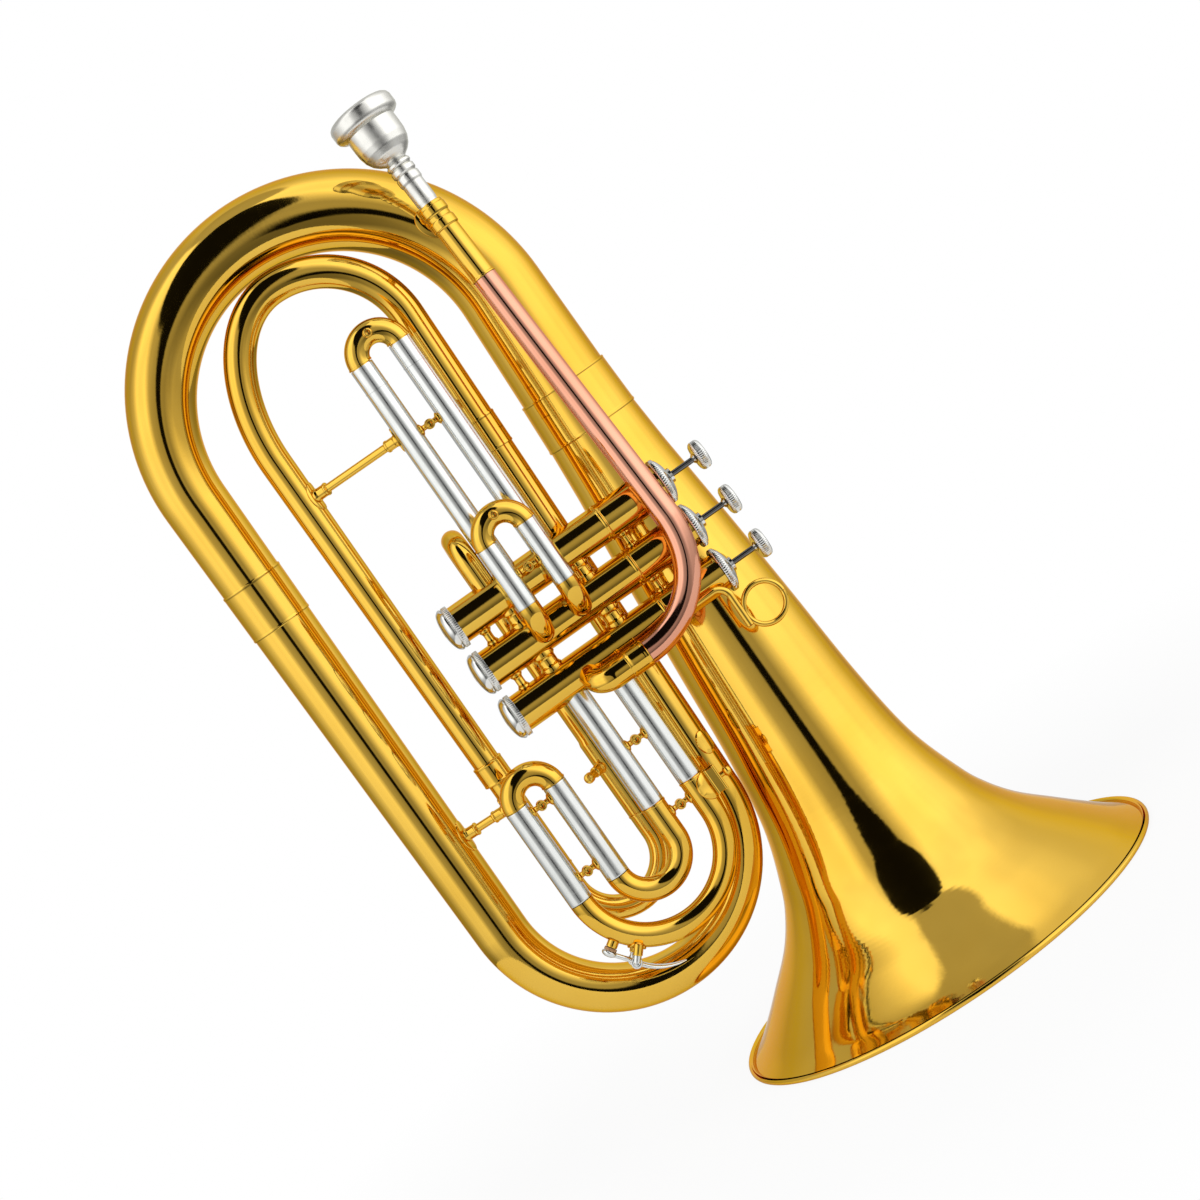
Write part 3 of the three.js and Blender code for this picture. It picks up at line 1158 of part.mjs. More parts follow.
function receiver() {
  const socketR = (SHANK_R + RUN_GAP) / Math.cos(Math.PI / TUBE_SIDES);
  const [ring, groove, lastRing] = RECEIVER_RINGS;
  const bore = LEADPIPE_TOP_R - LEADPIPE_WALL;
  const route = new Route(onAxis(RECEIVER_TOP + SEAT_GAP), pipeAxis, RECEIVER_R, socketR);
  route.go(ring).mark(RECEIVER_R - RECEIVER_GROOVE, socketR);
  route.go(groove).mark(RECEIVER_R, socketR).go(lastRing);
  route.mark(LEADPIPE_TOP_R, bore).goTo(onAxis(ROSE_TOP - SEAT_GAP));
  return tube(route, TUBE_SIDES);
}

function leadpipe() {
  const start = onAxis(ROSE_TOP);
  const end = place(LEADPIPE_END_X, frontDepth, leadpipeDropZ);
  const [easeShare, sweepShare] = LEADPIPE_EASE_SHARES;
  const ease = (leadpipeBendZ - leadpipeDropZ) * easeShare;
  const sweep = (LEADPIPE_X - LEADPIPE_END_X) * sweepShare;
  const first = overValves.clone().addScaledVector(DOWN, ease);
  const second = end.clone().addScaledVector(TO_BUTTONS, sweep);
  const curve = new THREE.CubicBezierCurve3(overValves, first, second, end);
  const route = new Route(start, pipeAxis, LEADPIPE_TOP_R, LEADPIPE_TOP_R - LEADPIPE_WALL);
  for (let i = 0; i <= LEADPIPE_STEPS; i += 1) {
    const share = i / LEADPIPE_STEPS;
    route.heading.copy(curve.getTangent(share));
    route.goTo(curve.getPoint(share), LEADPIPE_R, LEADPIPE_R - LEADPIPE_WALL);
  }
  return tube(route, TUBE_SIDES);
}

function inletElbow() {
  const start = place(LEADPIPE_END_X - SEAT_GAP, frontDepth, leadpipeDropZ);
  const inward = new THREE.Vector3(0, frontDepth - valveDepth, valveZ[2] - leadpipeDropZ).normalize();
  const heading = TO_BUTTONS.clone().negate();
  const ferruleR = LEADPIPE_R + FERRULE_WALL / 2;
  const bore = PORT_BORE_R;
  const route = new Route(start, heading, ferruleR, bore);
  route.go(INLET_FERRULE).mark(LEADPIPE_R, bore);
  route.goTo(place(inletX + INLET_ELBOW_R, frontDepth, leadpipeDropZ));
  route.bend(inward, INLET_ELBOW_R, Math.PI / 2, ELBOW_STEPS, PORT_BORE_R + LEADPIPE_WALL, bore);
  route.goTo(place(inletX, valveDepth, valveZ[2]));
  return cut(tube(route, TUBE_SIDES), casingRound(2));
}

function mouthRun() {
  const group = new THREE.Group();
  group.add(named('mouthpiece', mouthpiece(), silver()));
  group.add(named('mouthpiece_receiver', receiver(), lacquer()));
  group.add(named('leadpipe', leadpipe(), roseBrass()));
  group.add(named('inlet_elbow', inletElbow(), lacquer()));
  return group;
}

// Finger hook and ring on the third casing, and the posts and braces

function fingerHook() {
  const depth = valveDepth + Math.sqrt((CASING_R + HOOK_R + SEAT_GAP) ** 2 - HOOK_SIDE ** 2);
  const start = place(HOOK_FOOT_X, depth, valveZ[2] - HOOK_SIDE);
  const route = new Route(start, TO_BUTTONS, HOOK_R, 0);
  route.go(HOOK_TOP_X - HOOK_FOOT_X - HOOK_BEND_R).bend(DOWN, HOOK_BEND_R, Math.PI / 2, ELBOW_STEPS);
  route.goTo(place(HOOK_TOP_X, depth, valveZ[2] - HOOK_TIP));
  const ring = new THREE.TorusGeometry(RING_R, RING_WIRE_R, WIRE_SIDES, RING_STEPS).rotateX(Math.PI / 2);
  ring.translate(HOOK_TOP_X + HOOK_R + RING_R - RING_WIRE_R / 2, -depth, valveZ[2] - RING_SET);
  return join(tube(route, SMALL_SIDES), ring);
}

function post1() {
  const a = slide1Lower.clone().addScaledVector(DOWN, POST_1_DROP);
  const b = place(innerLowX, INNER_DEPTH, a.z);
  return strut(a, b, UP, SLEEVE_R, UP, INNER_BOW_LOW_R, POST_R, POST_FOOT_R);
}

function post2() {
  const a = place(innerLowX, INNER_DEPTH, collarZ - POST_2_DROP);
  const b = lerpPoint(bottomFront, bottomBack, a.z);
  const bottomR = THREE.MathUtils.lerp(
    LOWER_BOW_LOW_R, OUTER_BOW_LOW_R, shareBetween(a.z, LOWER_BOW_Z, outerBowZ));
  return strut(a, b, UP, TUNING_SLEEVE_R, UP, bottomR, POST_R, POST_FOOT_R);
}

function bellBrace(i) {
  const z = valveZ[i];
  const a = place(-CASING_R, valveDepth, z);
  const b = place(0, 0, z);
  return strut(a, b, TO_BUTTONS, CASING_R, UP, bellRadiusAt(z - BRACE_FOOT_R) + halfGap);
}

function receiverBrace() {
  const rise = OUTER_BOW_R * RECEIVER_BRACE_SHARE;
  const z = outerBowZ + rise;
  const a = lerpPoint(mouth, overValves, z);
  const b = place(TAIL_LEAN - OUTER_BOW_R + Math.sqrt(OUTER_BOW_R ** 2 - rise ** 2), 0, z);
  const along = new THREE.Vector3(-rise, 0, b.x - TAIL_LEAN + OUTER_BOW_R).normalize();
  return strut(a, b, pipeAxis, RECEIVER_R, along, OUTER_BOW_TOP_R);
}

function posts() {
  const group = new THREE.Group();
  group.add(named('finger_hook', fingerHook(), lacquer()));
  group.add(named('post_1', post1(), lacquer()));
  group.add(named('post_2', post2(), lacquer()));
  group.add(named('bell_brace_1', bellBrace(0), lacquer()));
  group.add(named('bell_brace_2', bellBrace(2), lacquer()));
  group.add(named('receiver_brace', receiverBrace(), lacquer()));
  return group;
}

const group = new THREE.Group();
const horn = new THREE.Group();
horn.position.x = bellAxisX;
horn.add(largeLoop(), valve(0), valve(1), valve(2), firstSlide(), secondSlide(), thirdSlide());
horn.add(tuningRun(), mouthRun(), posts());
group.add(horn);

export default group;
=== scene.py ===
import math

import bpy
from mathutils import Matrix, Vector

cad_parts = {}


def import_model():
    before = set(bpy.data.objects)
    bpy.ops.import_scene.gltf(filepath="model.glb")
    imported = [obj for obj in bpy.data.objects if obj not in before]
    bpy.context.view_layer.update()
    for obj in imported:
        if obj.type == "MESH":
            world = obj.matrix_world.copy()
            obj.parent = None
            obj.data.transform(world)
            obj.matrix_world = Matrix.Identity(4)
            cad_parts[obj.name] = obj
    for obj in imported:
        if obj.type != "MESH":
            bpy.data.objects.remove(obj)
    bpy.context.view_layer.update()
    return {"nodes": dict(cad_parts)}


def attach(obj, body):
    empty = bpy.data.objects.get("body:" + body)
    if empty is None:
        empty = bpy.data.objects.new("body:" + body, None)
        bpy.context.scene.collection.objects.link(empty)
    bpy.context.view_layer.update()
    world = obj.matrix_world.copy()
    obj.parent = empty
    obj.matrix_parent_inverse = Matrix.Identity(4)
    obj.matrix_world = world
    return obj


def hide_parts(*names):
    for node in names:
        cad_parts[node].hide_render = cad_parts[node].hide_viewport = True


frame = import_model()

# Lengths are millimetres in the instrument's own frame, unless a comment says metres: x along the valves
# (0 on the bell's axis), depth towards the viewer, z up from the bell's rim. Meshes are made in metres.
MM = 0.001
AXIS_X = 42.625
UP, DOWN = Vector((0, 0, 1)), Vector((0, 0, -1))
BUTTONS, CAPS = Vector((1, 0, 0)), Vector((-1, 0, 0))
FRONT, BACK = Vector((0, -1, 0)), Vector((0, 1, 0))


def at(x, depth, z):
    return Vector((x + AXIS_X, -depth, z))


def lerp(a, b, t):
    return a + (b - a) * t


def along(a, b, z):
    """The point at height z on the line through a and b."""
    return a.lerp(b, (z - a.z) / (b.z - a.z))


# Camera, from the photograph's perspective, in metres

camera = bpy.data.objects.new("camera", bpy.data.cameras.new("camera"))
bpy.context.collection.objects.link(camera)
camera.data.sensor_width = 36
camera.data.lens = 87.112
camera.data.clip_start = 0.05
camera.data.clip_end = 50
camera.matrix_world = Matrix((
    (0.81244396, 0.57556577, -0.09305294, -0.15284149),
    (-0.12737670, 0.01947520, -0.99166320, -1.54897674),
    (-0.56895517, 0.81752355, 0.08913618, 0.40206113),
    (0, 0, 0, 1)))
bpy.context.scene.camera = camera


# Materials

def colour4(colour):
    if isinstance(colour, (int, float)):
        return (colour, colour, colour, 1)
    return (*colour, 1)


class Nodes:
    """Adds and links the nodes of one tree."""

    def __init__(self, tree):
        self.tree = tree
        tree.nodes.clear()

    def add(self, kind, **values):
        node = self.tree.nodes.new(kind)
        for key, value in values.items():
            setattr(node, key, value)
        return node

    def link(self, a, b):
        self.tree.links.new(a, b)

    def calc(self, operation, a, b=None):
        """A sum of one or two values, each a socket or a number."""
        node = self.add("ShaderNodeMath", operation=operation)
        for value, socket in zip((a, b), node.inputs):
            if isinstance(value, float):
                socket.default_value = value
            elif value is not None:
                self.link(value, socket)
        return node.outputs[0]

    def spread(self, value, low, high, out_low=0.0, out_high=1.0):
        """Maps low to high onto out_low to out_high, and holds the ends beyond them."""
        node = self.add("ShaderNodeMapRange")
        for name, number in (("From Min", low), ("From Max", high), ("To Min", out_low), ("To Max", out_high)):
            node.inputs[name].default_value = number
        self.link(value, node.inputs["Value"])
        return node.outputs["Result"]

    def ramp(self, source, stops):
        node = self.add("ShaderNodeValToRGB")
        elements = node.color_ramp.elements
        while len(elements) > 1:
            elements.remove(elements[-1])
        elements[0].position = stops[0][0]
        elements[0].color = colour4(stops[0][1])
        for position, colour in stops[1:]:
            elements.new(position).color = colour4(colour)
        self.link(source, node.inputs[0])
        return node.outputs["Color"]

    def noise(self, where, scale, detail):
        node = self.add("ShaderNodeTexNoise")
        node.inputs["Scale"].default_value = scale
        node.inputs["Detail"].default_value = detail
        self.link(where, node.inputs["Vector"])
        return node.outputs["Fac"]

    def bump(self, height, strength, distance, shader):
        node = self.add("ShaderNodeBump")
        node.inputs["Strength"].default_value = strength
        node.inputs["Distance"].default_value = distance
        self.link(height, node.inputs["Height"])
        self.link(node.outputs["Normal"], shader.inputs["Normal"])


def new_material(name):
    """A material, its nodes, and the socket that its surface goes into."""
    material = bpy.data.materials.new(name)
    material.use_nodes = True
    n = Nodes(material.node_tree)
    return material, n, n.add("ShaderNodeOutputMaterial").inputs["Surface"]


def metal(name, light, deep, rough, edge, coat=0.0, grain=0.02):
    """Polished metal: slow colour variation, uneven polish, and faint buffing marks in the bump."""
    material, n, surface = new_material(name)
    shader = n.add("ShaderNodeBsdfPrincipled")
    shader.inputs["Metallic"].default_value = 1.0
    shader.inputs["Specular Tint"].default_value = colour4(edge)
    shader.inputs["Coat Weight"].default_value = coat
    shader.inputs["Coat Roughness"].default_value = 0.04
    where = n.add("ShaderNodeTexCoord").outputs["Object"]
    slow, fine, finest = n.noise(where, 11, 3), n.noise(where, 160, 4), n.noise(where, 420, 2)
    n.link(n.ramp(slow, [(0.34, deep), (0.6, light)]), shader.inputs["Base Color"])
    n.link(n.spread(fine, 0.35, 0.7, rough * 0.75, rough * 1.35), shader.inputs["Roughness"])
    n.bump(finest, grain, 0.0004, shader)
    n.link(shader.outputs["BSDF"], surface)
    return material


def plain(name, light, deep, rough, scale, bump_strength):
    """Plastic or cork: one noise for the colour and the bump."""
    material, n, surface = new_material(name)
    shader = n.add("ShaderNodeBsdfPrincipled")
    shader.inputs["Roughness"].default_value = rough
    grain = n.noise(n.add("ShaderNodeTexCoord").outputs["Object"], scale, 5)
    n.link(n.ramp(grain, [(0.35, deep), (0.65, light)]), shader.inputs["Base Color"])
    n.bump(grain, bump_strength, 0.0005, shader)
    n.link(shader.outputs["BSDF"], surface)
    return material


GOLD = metal("gold_lacquer", (0.87, 0.54, 0.075), (0.82, 0.48, 0.05), 0.06, (0.72, 0.46, 0.1), coat=0.2)
ROSE = metal("rose_brass_lacquer", (0.86, 0.41, 0.27), (0.80, 0.35, 0.22), 0.08, (0.8, 0.42, 0.3), coat=0.3)
NICKEL = metal("nickel_plate", (0.83, 0.84, 0.82), (0.74, 0.76, 0.73), 0.19, (0.62, 0.62, 0.6))
SILVER = metal("silver_plating", (0.84, 0.83, 0.78), (0.78, 0.77, 0.72), 0.27, (0.62, 0.62, 0.58))
CHROME = metal("bright_silver_plating", (0.84, 0.84, 0.81), (0.77, 0.77, 0.74), 0.09, (0.5, 0.5, 0.48),
               grain=0.03)
STEM = metal("polished_dark_steel", (0.2, 0.2, 0.2), (0.13, 0.13, 0.13), 0.12, (0.4, 0.4, 0.4))
STEEL = metal("spring_steel_wire", (0.5, 0.5, 0.5), (0.38, 0.38, 0.38), 0.25, (0.5, 0.5, 0.5))
PLASTIC = plain("guide_plastic_ivory", (0.78, 0.75, 0.62), (0.70, 0.67, 0.55), 0.45, 60, 0.05)
CORK = plain("cork_grain", (0.45, 0.27, 0.13), (0.22, 0.11, 0.05), 0.85, 900, 0.5)
FINISH = {"lacquer": GOLD, "rose_brass": ROSE, "nickel": NICKEL, "silver_plate": SILVER,
          "spring_steel": STEEL, "guide_plastic": PLASTIC, "cork": CORK}


# Meshes

class Shape:
    """Collects vertices in millimetres and faces, for one piece."""

    def __init__(self):
        self.points = []
        self.faces = []

    def ring(self, points):
        first = len(self.points)
        self.points.extend(points)
        return list(range(first, len(self.points)))

    def stack(self, rings, open_start=False):
        """Skins a row of rings and closes its ends."""
        for a, b in zip(rings, rings[1:]):
            count = len(a)
            for i in range(count):
                j = (i + 1) % count
                self.faces.append((a[i], a[j], b[j], b[i]))
        if not open_start:
            self.faces.append(tuple(reversed(rings[0])))
        self.faces.append(tuple(rings[-1]))


def piece(name, shape, body, slot, replaces, sharp=32, finish=None):
    """One visible piece. Edges steeper than sharp, in degrees, stay hard."""
    mesh = bpy.data.meshes.new(name)
    mesh.from_pydata([tuple(p * MM) for p in shape.points], [], shape.faces)
    mesh.validate()
    mesh.shade_smooth()
    mesh.set_sharp_from_angle(angle=math.radians(sharp))
    mesh.materials.append(finish or FINISH[slot])
    thing = bpy.data.objects.new(name, mesh)
    bpy.context.collection.objects.link(thing)
    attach(thing, body)
    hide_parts(*replaces)


def square(direction):
    """Two directions square to one another and to this one."""
    helper = BUTTONS if abs(direction.z) > 0.9 else UP
    a = helper.cross(direction).normalized()
    return a, direction.cross(a).normalized()


def circle(centre, a, b, radius, sides):
    return [centre + (a * math.cos(t) + b * math.sin(t)) * radius
            for t in (2 * math.pi * i / sides for i in range(sides))]


def soften(profile, reach, steps=4):
    """Rounds the corners of a profile of (radius, height)."""
    points = [Vector((r, h)) for r, h in profile]
    out = [points[0]]
    for before, here, after in zip(points, points[1:], points[2:]):
        cut = min(reach, (here - before).length * 0.45, (after - here).length * 0.45)
        a = here + (before - here).normalized() * cut if (before - here).length else here
        b = here + (after - here).normalized() * cut if (after - here).length else here
        for i in range(steps + 1):
            t = i / steps
            out.append(a.lerp(here, t).lerp(here.lerp(b, t), t))
    out.append(points[-1])
    return [(p.x, p.y) for p in out]


def steady(profile, reach=0.6):
    """Adds points near the ends of long runs, so that a run's shading stays as straight as the run."""
    out = [profile[0]]
    for (r0, h0), (r1, h1) in zip(profile, profile[1:]):
        length = math.hypot(r1 - r0, h1 - h0)
        if length > 4 * reach:
            out += [(lerp(r0, r1, t), lerp(h0, h1, t)) for t in (reach / length, 1 - reach / length)]
        out.append((r1, h1))
    return out


def lathe(shape, profile, start, direction, sides=64, knurl=None):
    """Turns a profile of (radius, height). A knurl is (lowest, highest, depth, teeth)."""
    on_axis_r = 1e-6
    profile = steady(profile)
    direction = direction.normalized()
    a, b = square(direction)
    rings = []
    for radius, height in profile:
        centre = start + direction * height
        if radius < on_axis_r:
            rings.append(shape.ring([centre]) * sides)
            continue
        points = circle(centre, a, b, radius, sides)
        if knurl and knurl[0] <= height <= knurl[1]:
            for i in range(sides):
                wave = 0.5 + 0.5 * math.cos(2 * math.pi * knurl[3] * i / sides)
                points[i] = centre + (points[i] - centre) * (1 - knurl[2] * (1 - wave) / radius)
        rings.append(shape.ring(points))
    for low, high in zip(rings, rings[1:]):
        for i in range(sides):
            j = (i + 1) % sides
            face = []
            for v in (low[i], low[j], high[j], high[i]):
                if v not in face:
                    face.append(v)
            if len(face) > 2:
                shape.faces.append(tuple(face))
    return shape


class Path:
    """A tube's centre line: a list of (point, heading, radius)."""

    def __init__(self, start, heading, radius):
        self.stations = [(start.copy(), heading.normalized(), radius)]

    @property
    def last(self):
        return self.stations[-1]

    def mark(self, radius):
        """A step in the radius."""
        point, heading, _ = self.last
        self.stations.append((point.copy(), heading.copy(), radius))
        return self

    def to(self, target, radius=None, steps=1):
        point, heading, r0 = self.last
        radius = r0 if radius is None else radius
        for i in range(1, steps + 1):
            t = i / steps
            self.stations.append((point.lerp(target, t), heading.copy(), lerp(r0, radius, t)))
        return self

    def go(self, length, radius=None, steps=1):
        point, heading, _ = self.last
        return self.to(point + heading * length, radius, steps)

    def bend(self, towards, bend_r, angle, radius=None, steps=28):
        point, ahead, r0 = self.last
        radius = r0 if radius is None else radius
        side = towards.normalized()
        centre = point + side * bend_r
        for i in range(1, steps + 1):
            t = i / steps
            turn = angle * t
            self.stations.append((
                centre - side * (bend_r * math.cos(turn)) + ahead * (bend_r * math.sin(turn)),
                (ahead * math.cos(turn) + side * math.sin(turn)).normalized(), lerp(r0, radius, t)))
        return self

    def quarter(self, towards, reach, run, radius, steps):
        """A quarter of an ellipse: run ahead, and reach towards a side."""
        point, ahead, r0 = self.last
        for i in range(1, steps + 1):
            t = i / steps
            a = math.pi / 2 * t
            self.stations.append((
                point + towards * (reach * (1 - math.cos(a))) + ahead * (run * math.sin(a)),
                (ahead * (run * math.cos(a)) + towards * (reach * math.sin(a))).normalized(), lerp(r0, radius, t)))
        return self

    def bow(self, end, radius=None, steps=56):
        """Half a turn to a point beside this one."""
        across = end - self.last[0]
        return self.bend(across, across.length / 2, math.pi, radius, steps)


def tube(shape, path, sides=56):
    """A tube round a path, closed at both ends."""
    stations = []
    for (p0, d0, r0), (p1, d1, r1) in zip(path.stations, path.stations[1:]):
        stations.append((p0, d0, r0))
        length = (p1 - p0).length
        straight = d0.dot(d1) > 0.9999
        if length > 5 and straight:
            # Extra stations 1 mm from the ends keep a straight run's shading straight
            stations += [(p0.lerp(p1, t), d0, lerp(r0, r1, t)) for t in (1 / length, 1 - 1 / length)]
    stations.append(path.last)
    normal = square(stations[0][1])[0]
    before = stations[0][1]
    rings = []
    for point, heading, radius in stations:
        normal = before.rotation_difference(heading) @ normal
        normal = (normal - heading * normal.dot(heading)).normalized()
        before = heading
        rings.append(shape.ring(circle(point, normal, heading.cross(normal).normalized(), radius, sides)))
    shape.stack(rings)
    return shape


def rod(shape, a, b, radius, sides=32):
    """A round bar with slightly rounded ends."""
    length = (b - a).length
    edge = min(radius, length) * 0.14
    profile = soften([(0, 0), (radius, 0), (radius, length), (0, length)], edge, 3)
    lathe(shape, profile, a, b - a, sides)


def ball(shape, centre, radius, squash, axis):
    profile = [(radius * math.sin(t), radius * squash * -math.cos(t))
               for t in (math.pi * i / 16 for i in range(17))]
    profile[0] = (0, profile[0][1])
    profile[-1] = (0, profile[-1][1])
    lathe(shape, profile, centre, axis, 32)


def turned_post(shape, a, b, foot_a, foot_b, rod_r, start_r, end_r):
    """A rod between two tubes, in a thicker collar at each end that is sunk in the tube's wall."""
    length = (b - a).length
    sunk, collar_end = 1.4, 8
    collar = [(1.0, -sunk), (1.0, 1.0), (0.86, 2.0), (0.86, 6.3), (0.95, 6.5), (0.95, 7.6)]
    profile = [(0, start_r - sunk)]
    profile += [(foot_a * wide, start_r + h) for wide, h in collar]
    profile += [(rod_r, start_r + collar_end), (rod_r, length - end_r - collar_end)]
    profile += [(foot_b * wide, length - end_r - h) for wide, h in reversed(collar)]
    profile += [(0, length - end_r + sunk)]
    lathe(shape, soften(profile, 0.4, 3), a, b - a, 40)


def saddle(shape, centre, axis, towards, tube_r, half_length, half_width, thick=0.7):
    """An oval flange wrapped on a tube, facing a direction."""
    axis = axis.normalized()
    out = (towards - axis * towards.dot(axis)).normalized()
    side = axis.cross(out).normalized()
    rings = []
    count = 40
    for share, lift in ((1.0, -0.3), (1.0, 0.2), (0.97, 0.75), (0.9, 1.0), (0.6, 1.0), (0.25, 1.0)):
        ring = []
        for i in range(count):
            t = 2 * math.pi * i / count
            angle = share * half_width * math.sin(t) / tube_r
            r = tube_r + thick * lift
            ring.append(centre + axis * (share * half_length * math.cos(t))
                        + out * (r * math.cos(angle)) + side * (r * math.sin(angle)))
        rings.append(shape.ring(ring))
    shape.stack(rings, open_start=True)


# Large loop

BELL_END, BELL_RIM, BELL_LENGTH = 25.6, 130, 356
BELL_WALL, BELL_BEAD = 0.7, 1.8
# The bell's outline: share of its length, share of the way from the end's radius to the rim's
FLARE = [(0.0, 1.0), (0.006, 0.965), (0.0225, 0.88), (0.045, 0.789), (0.0787, 0.665), (0.124, 0.504),
         (0.1685, 0.392), (0.215, 0.315), (0.306, 0.2146), (0.427, 0.158), (0.58, 0.118), (0.73, 0.0766),
         (0.882, 0.0287)]


def spline(points, steps):
    """A smooth line through points, as the solids' own spline has it."""
    out = []
    last = len(points) - 1
    for i in range(last):
        p = [points[max(0, i - 1)], points[i], points[i + 1], points[min(last, i + 2)]]
        for k in range(steps):
            t = k / steps
            out.append(tuple(
                0.5 * ((2 * p[1][c]) + (-p[0][c] + p[2][c]) * t
                       + (2 * p[0][c] - 5 * p[1][c] + 4 * p[2][c] - p[3][c]) * t * t
                       + (-p[0][c] + 3 * p[1][c] - 3 * p[2][c] + p[3][c]) * t ** 3)
                for c in range(2)))
    out.append(points[last])
    return out


def bell_outside():
    line = [(lerp(BELL_END, BELL_RIM, r), BELL_LENGTH * h) for h, r in FLARE[1:]]
    return spline(line, 8) + [(BELL_END + 0.02, BELL_LENGTH)]


def make_bell():
    outer = bell_outside()
    inner = []
    for i, (r, h) in enumerate(outer):
        r0, h0 = outer[max(0, i - 1)]
        r1, h1 = outer[min(len(outer) - 1, i + 1)]
        tangent = Vector((r1 - r0, h1 - h0)).normalized()
        inner.append((r - tangent.y * BELL_WALL, h + tangent.x * BELL_WALL))
    inner[-1] = (BELL_END - BELL_WALL, BELL_LENGTH)
    bead = []
    for i in range(23):
        a = math.radians(62 - 318 * i / 22)
        bead.append((BELL_RIM - BELL_BEAD + BELL_BEAD * math.cos(a), BELL_BEAD + BELL_BEAD * math.sin(a)))
    profile = [inner[-1], outer[-1]] + outer[::-1][1:] + bead + inner
    profile = profile[::-1]
    shape = lathe(Shape(), profile, at(0, 0, 0), UP, 144)
    piece("bell_shell", shape, "horn", "lacquer", ("bell",), sharp=50)


make_bell()

# Ends of the straight branches: a tube is at OUTER_TOP or INNER_TOP where it enters the bows behind, and at
# BRANCH_LOW where it enters the lower bow
OUTER_TOP, INNER_TOP, BRANCH_LOW = 428.8, 447, 147
TAIL_X, OUTER_BOW_R = 0.9, 98.9
INNER_DEPTH = 17
TAIL = at(0, 0, BELL_LENGTH)
TAIL_TOP = at(TAIL_X, 0, OUTER_TOP)
BOTTOM_BACK = at(-196.9, 0, OUTER_TOP)
BOTTOM_FRONT = at(-195.8, 0, BRANCH_LOW)
INNER_FRONT = at(-55.5, INNER_DEPTH, BRANCH_LOW)
INNER_BACK = at(-49.1, INNER_DEPTH, INNER_TOP)
INNER_LOW = -150.6
BOTTOM_R, BOTTOM_TOP_R = 14.8, 17.8
INNER_R, INNER_TOP_R = 10.2, 9.2


def bottom_r(z):
    return lerp(BOTTOM_R, BOTTOM_TOP_R, (z - BRANCH_LOW) / (OUTER_TOP - BRANCH_LOW))


def inner_r(z):
    return lerp(INNER_R, INNER_TOP_R, (z - BRANCH_LOW) / (INNER_TOP - BRANCH_LOW))


def on_bottom(z):
    return along(BOTTOM_FRONT, BOTTOM_BACK, z)


def on_inner(z):
    return along(INNER_FRONT, INNER_BACK, z)


def ferrule(name, a, b, ra, rb, node, bead):
    """A sleeve over a joint, with a rounded bead at both ends."""
    length = (b - a).length

    def r(h):
        return lerp(ra, rb, h / length)

    profile = [(r(0) - 2, 0.5), (r(0), 0.15)]
    profile += [(r(0) + bead * math.sin(math.pi * t), 0.15 + 1.7 * t) for t in (0.2, 0.4, 0.6, 0.8, 1.0)]
    profile += [(r(2.2), 2.2), (r(length - 2.2), length - 2.2)]
    profile += [(r(length) + bead * math.sin(math.pi * t), length - 1.85 + 1.7 * t)
                for t in (0.0, 0.2, 0.4, 0.6, 0.8)]
    profile += [(r(length), length - 0.15), (r(length) - 2, length - 0.5)]
    piece(name, lathe(Shape(), profile, a, b - a, 96), "horn", "lacquer", (node,), sharp=45)


def bell_r(z):
    line = bell_outside()
    for (r0, h0), (r1, h1) in zip(line, line[1:]):
        if h0 <= z <= h1:
            return lerp(r0, r1, (z - h0) / (h1 - h0))
    return BELL_END


tail_low = 341.2
ferrule("tail_ferrule", at(0, 0, tail_low), along(TAIL, TAIL_TOP, 370.8),
        bell_r(tail_low) + 0.5, BELL_END + 0.4, "bell_ferrule", 0.22)

path = Path(at(0, 0, 352), UP, BELL_END).to(TAIL_TOP, 23.7, 6).bow(BOTTOM_BACK, BOTTOM_TOP_R, 88)
path.to(on_bottom(361), bottom_r(361), 4)
piece("outer_bow_tube", tube(Shape(), path, 88), "horn", "lacquer", ("outer_bow",))

path = Path(on_bottom(369), BOTTOM_FRONT - BOTTOM_BACK, bottom_r(369)).to(BOTTOM_FRONT, BOTTOM_R, 12)
path.bow(INNER_FRONT, INNER_R, 72).to(on_inner(369), inner_r(369), 10)
shape = tube(Shape(), path, 72)
foot_z = 171
saddle(shape, on_inner(foot_z), INNER_BACK - INNER_FRONT, FRONT + BUTTONS * 0.6, inner_r(foot_z), 7, 5, 1.1)
piece("lower_bow_tube", shape, "horn", "lacquer", ("bottom_branch", "lower_bow", "inner_top_branch"))

path = Path(on_inner(376), UP, inner_r(376)).to(INNER_BACK, INNER_TOP_R, 4)
path.quarter(CAPS, 50.75, 50.75, 8.9, 40).quarter(DOWN, 77, 50.75, 8.6, 40)
path.to(at(INNER_LOW, INNER_DEPTH, 223), 7.5, 10)
piece("inner_bow_tube", tube(Shape(), path, 64), "horn", "lacquer", ("inner_bow", "inner_bottom_branch"))

ferrule("bottom_joint_ferrule", on_bottom(349.85), on_bottom(378.95),
        bottom_r(350) + 0.5, bottom_r(379) + 0.5, "bottom_ferrule", 0.2)
ferrule("inner_joint_ferrule", on_inner(361.2), on_inner(381),
        inner_r(361) + 0.5, inner_r(381) + 0.5, "inner_top_ferrule", 0.18)


# Valves

VALVE_Z = (299.3, 271.15, 243.0)
VALVE_DEPTH, FRONT_DEPTH = 49.0, 69.4
CASING_LOW, CASING_LENGTH, CASING_R = -126.0, 133.3, 10.4
CASING_LIP = CASING_LENGTH - 38
CAP_TEETH, BUTTON_TEETH = 60, 48
BUTTON_LOW = 154.5
# The slides' upper legs, and the distance to their lower legs
SLIDE_1, SLIDE_2, SLIDE_3 = -63.3, -65.3, -69.4
LEG = 23.7


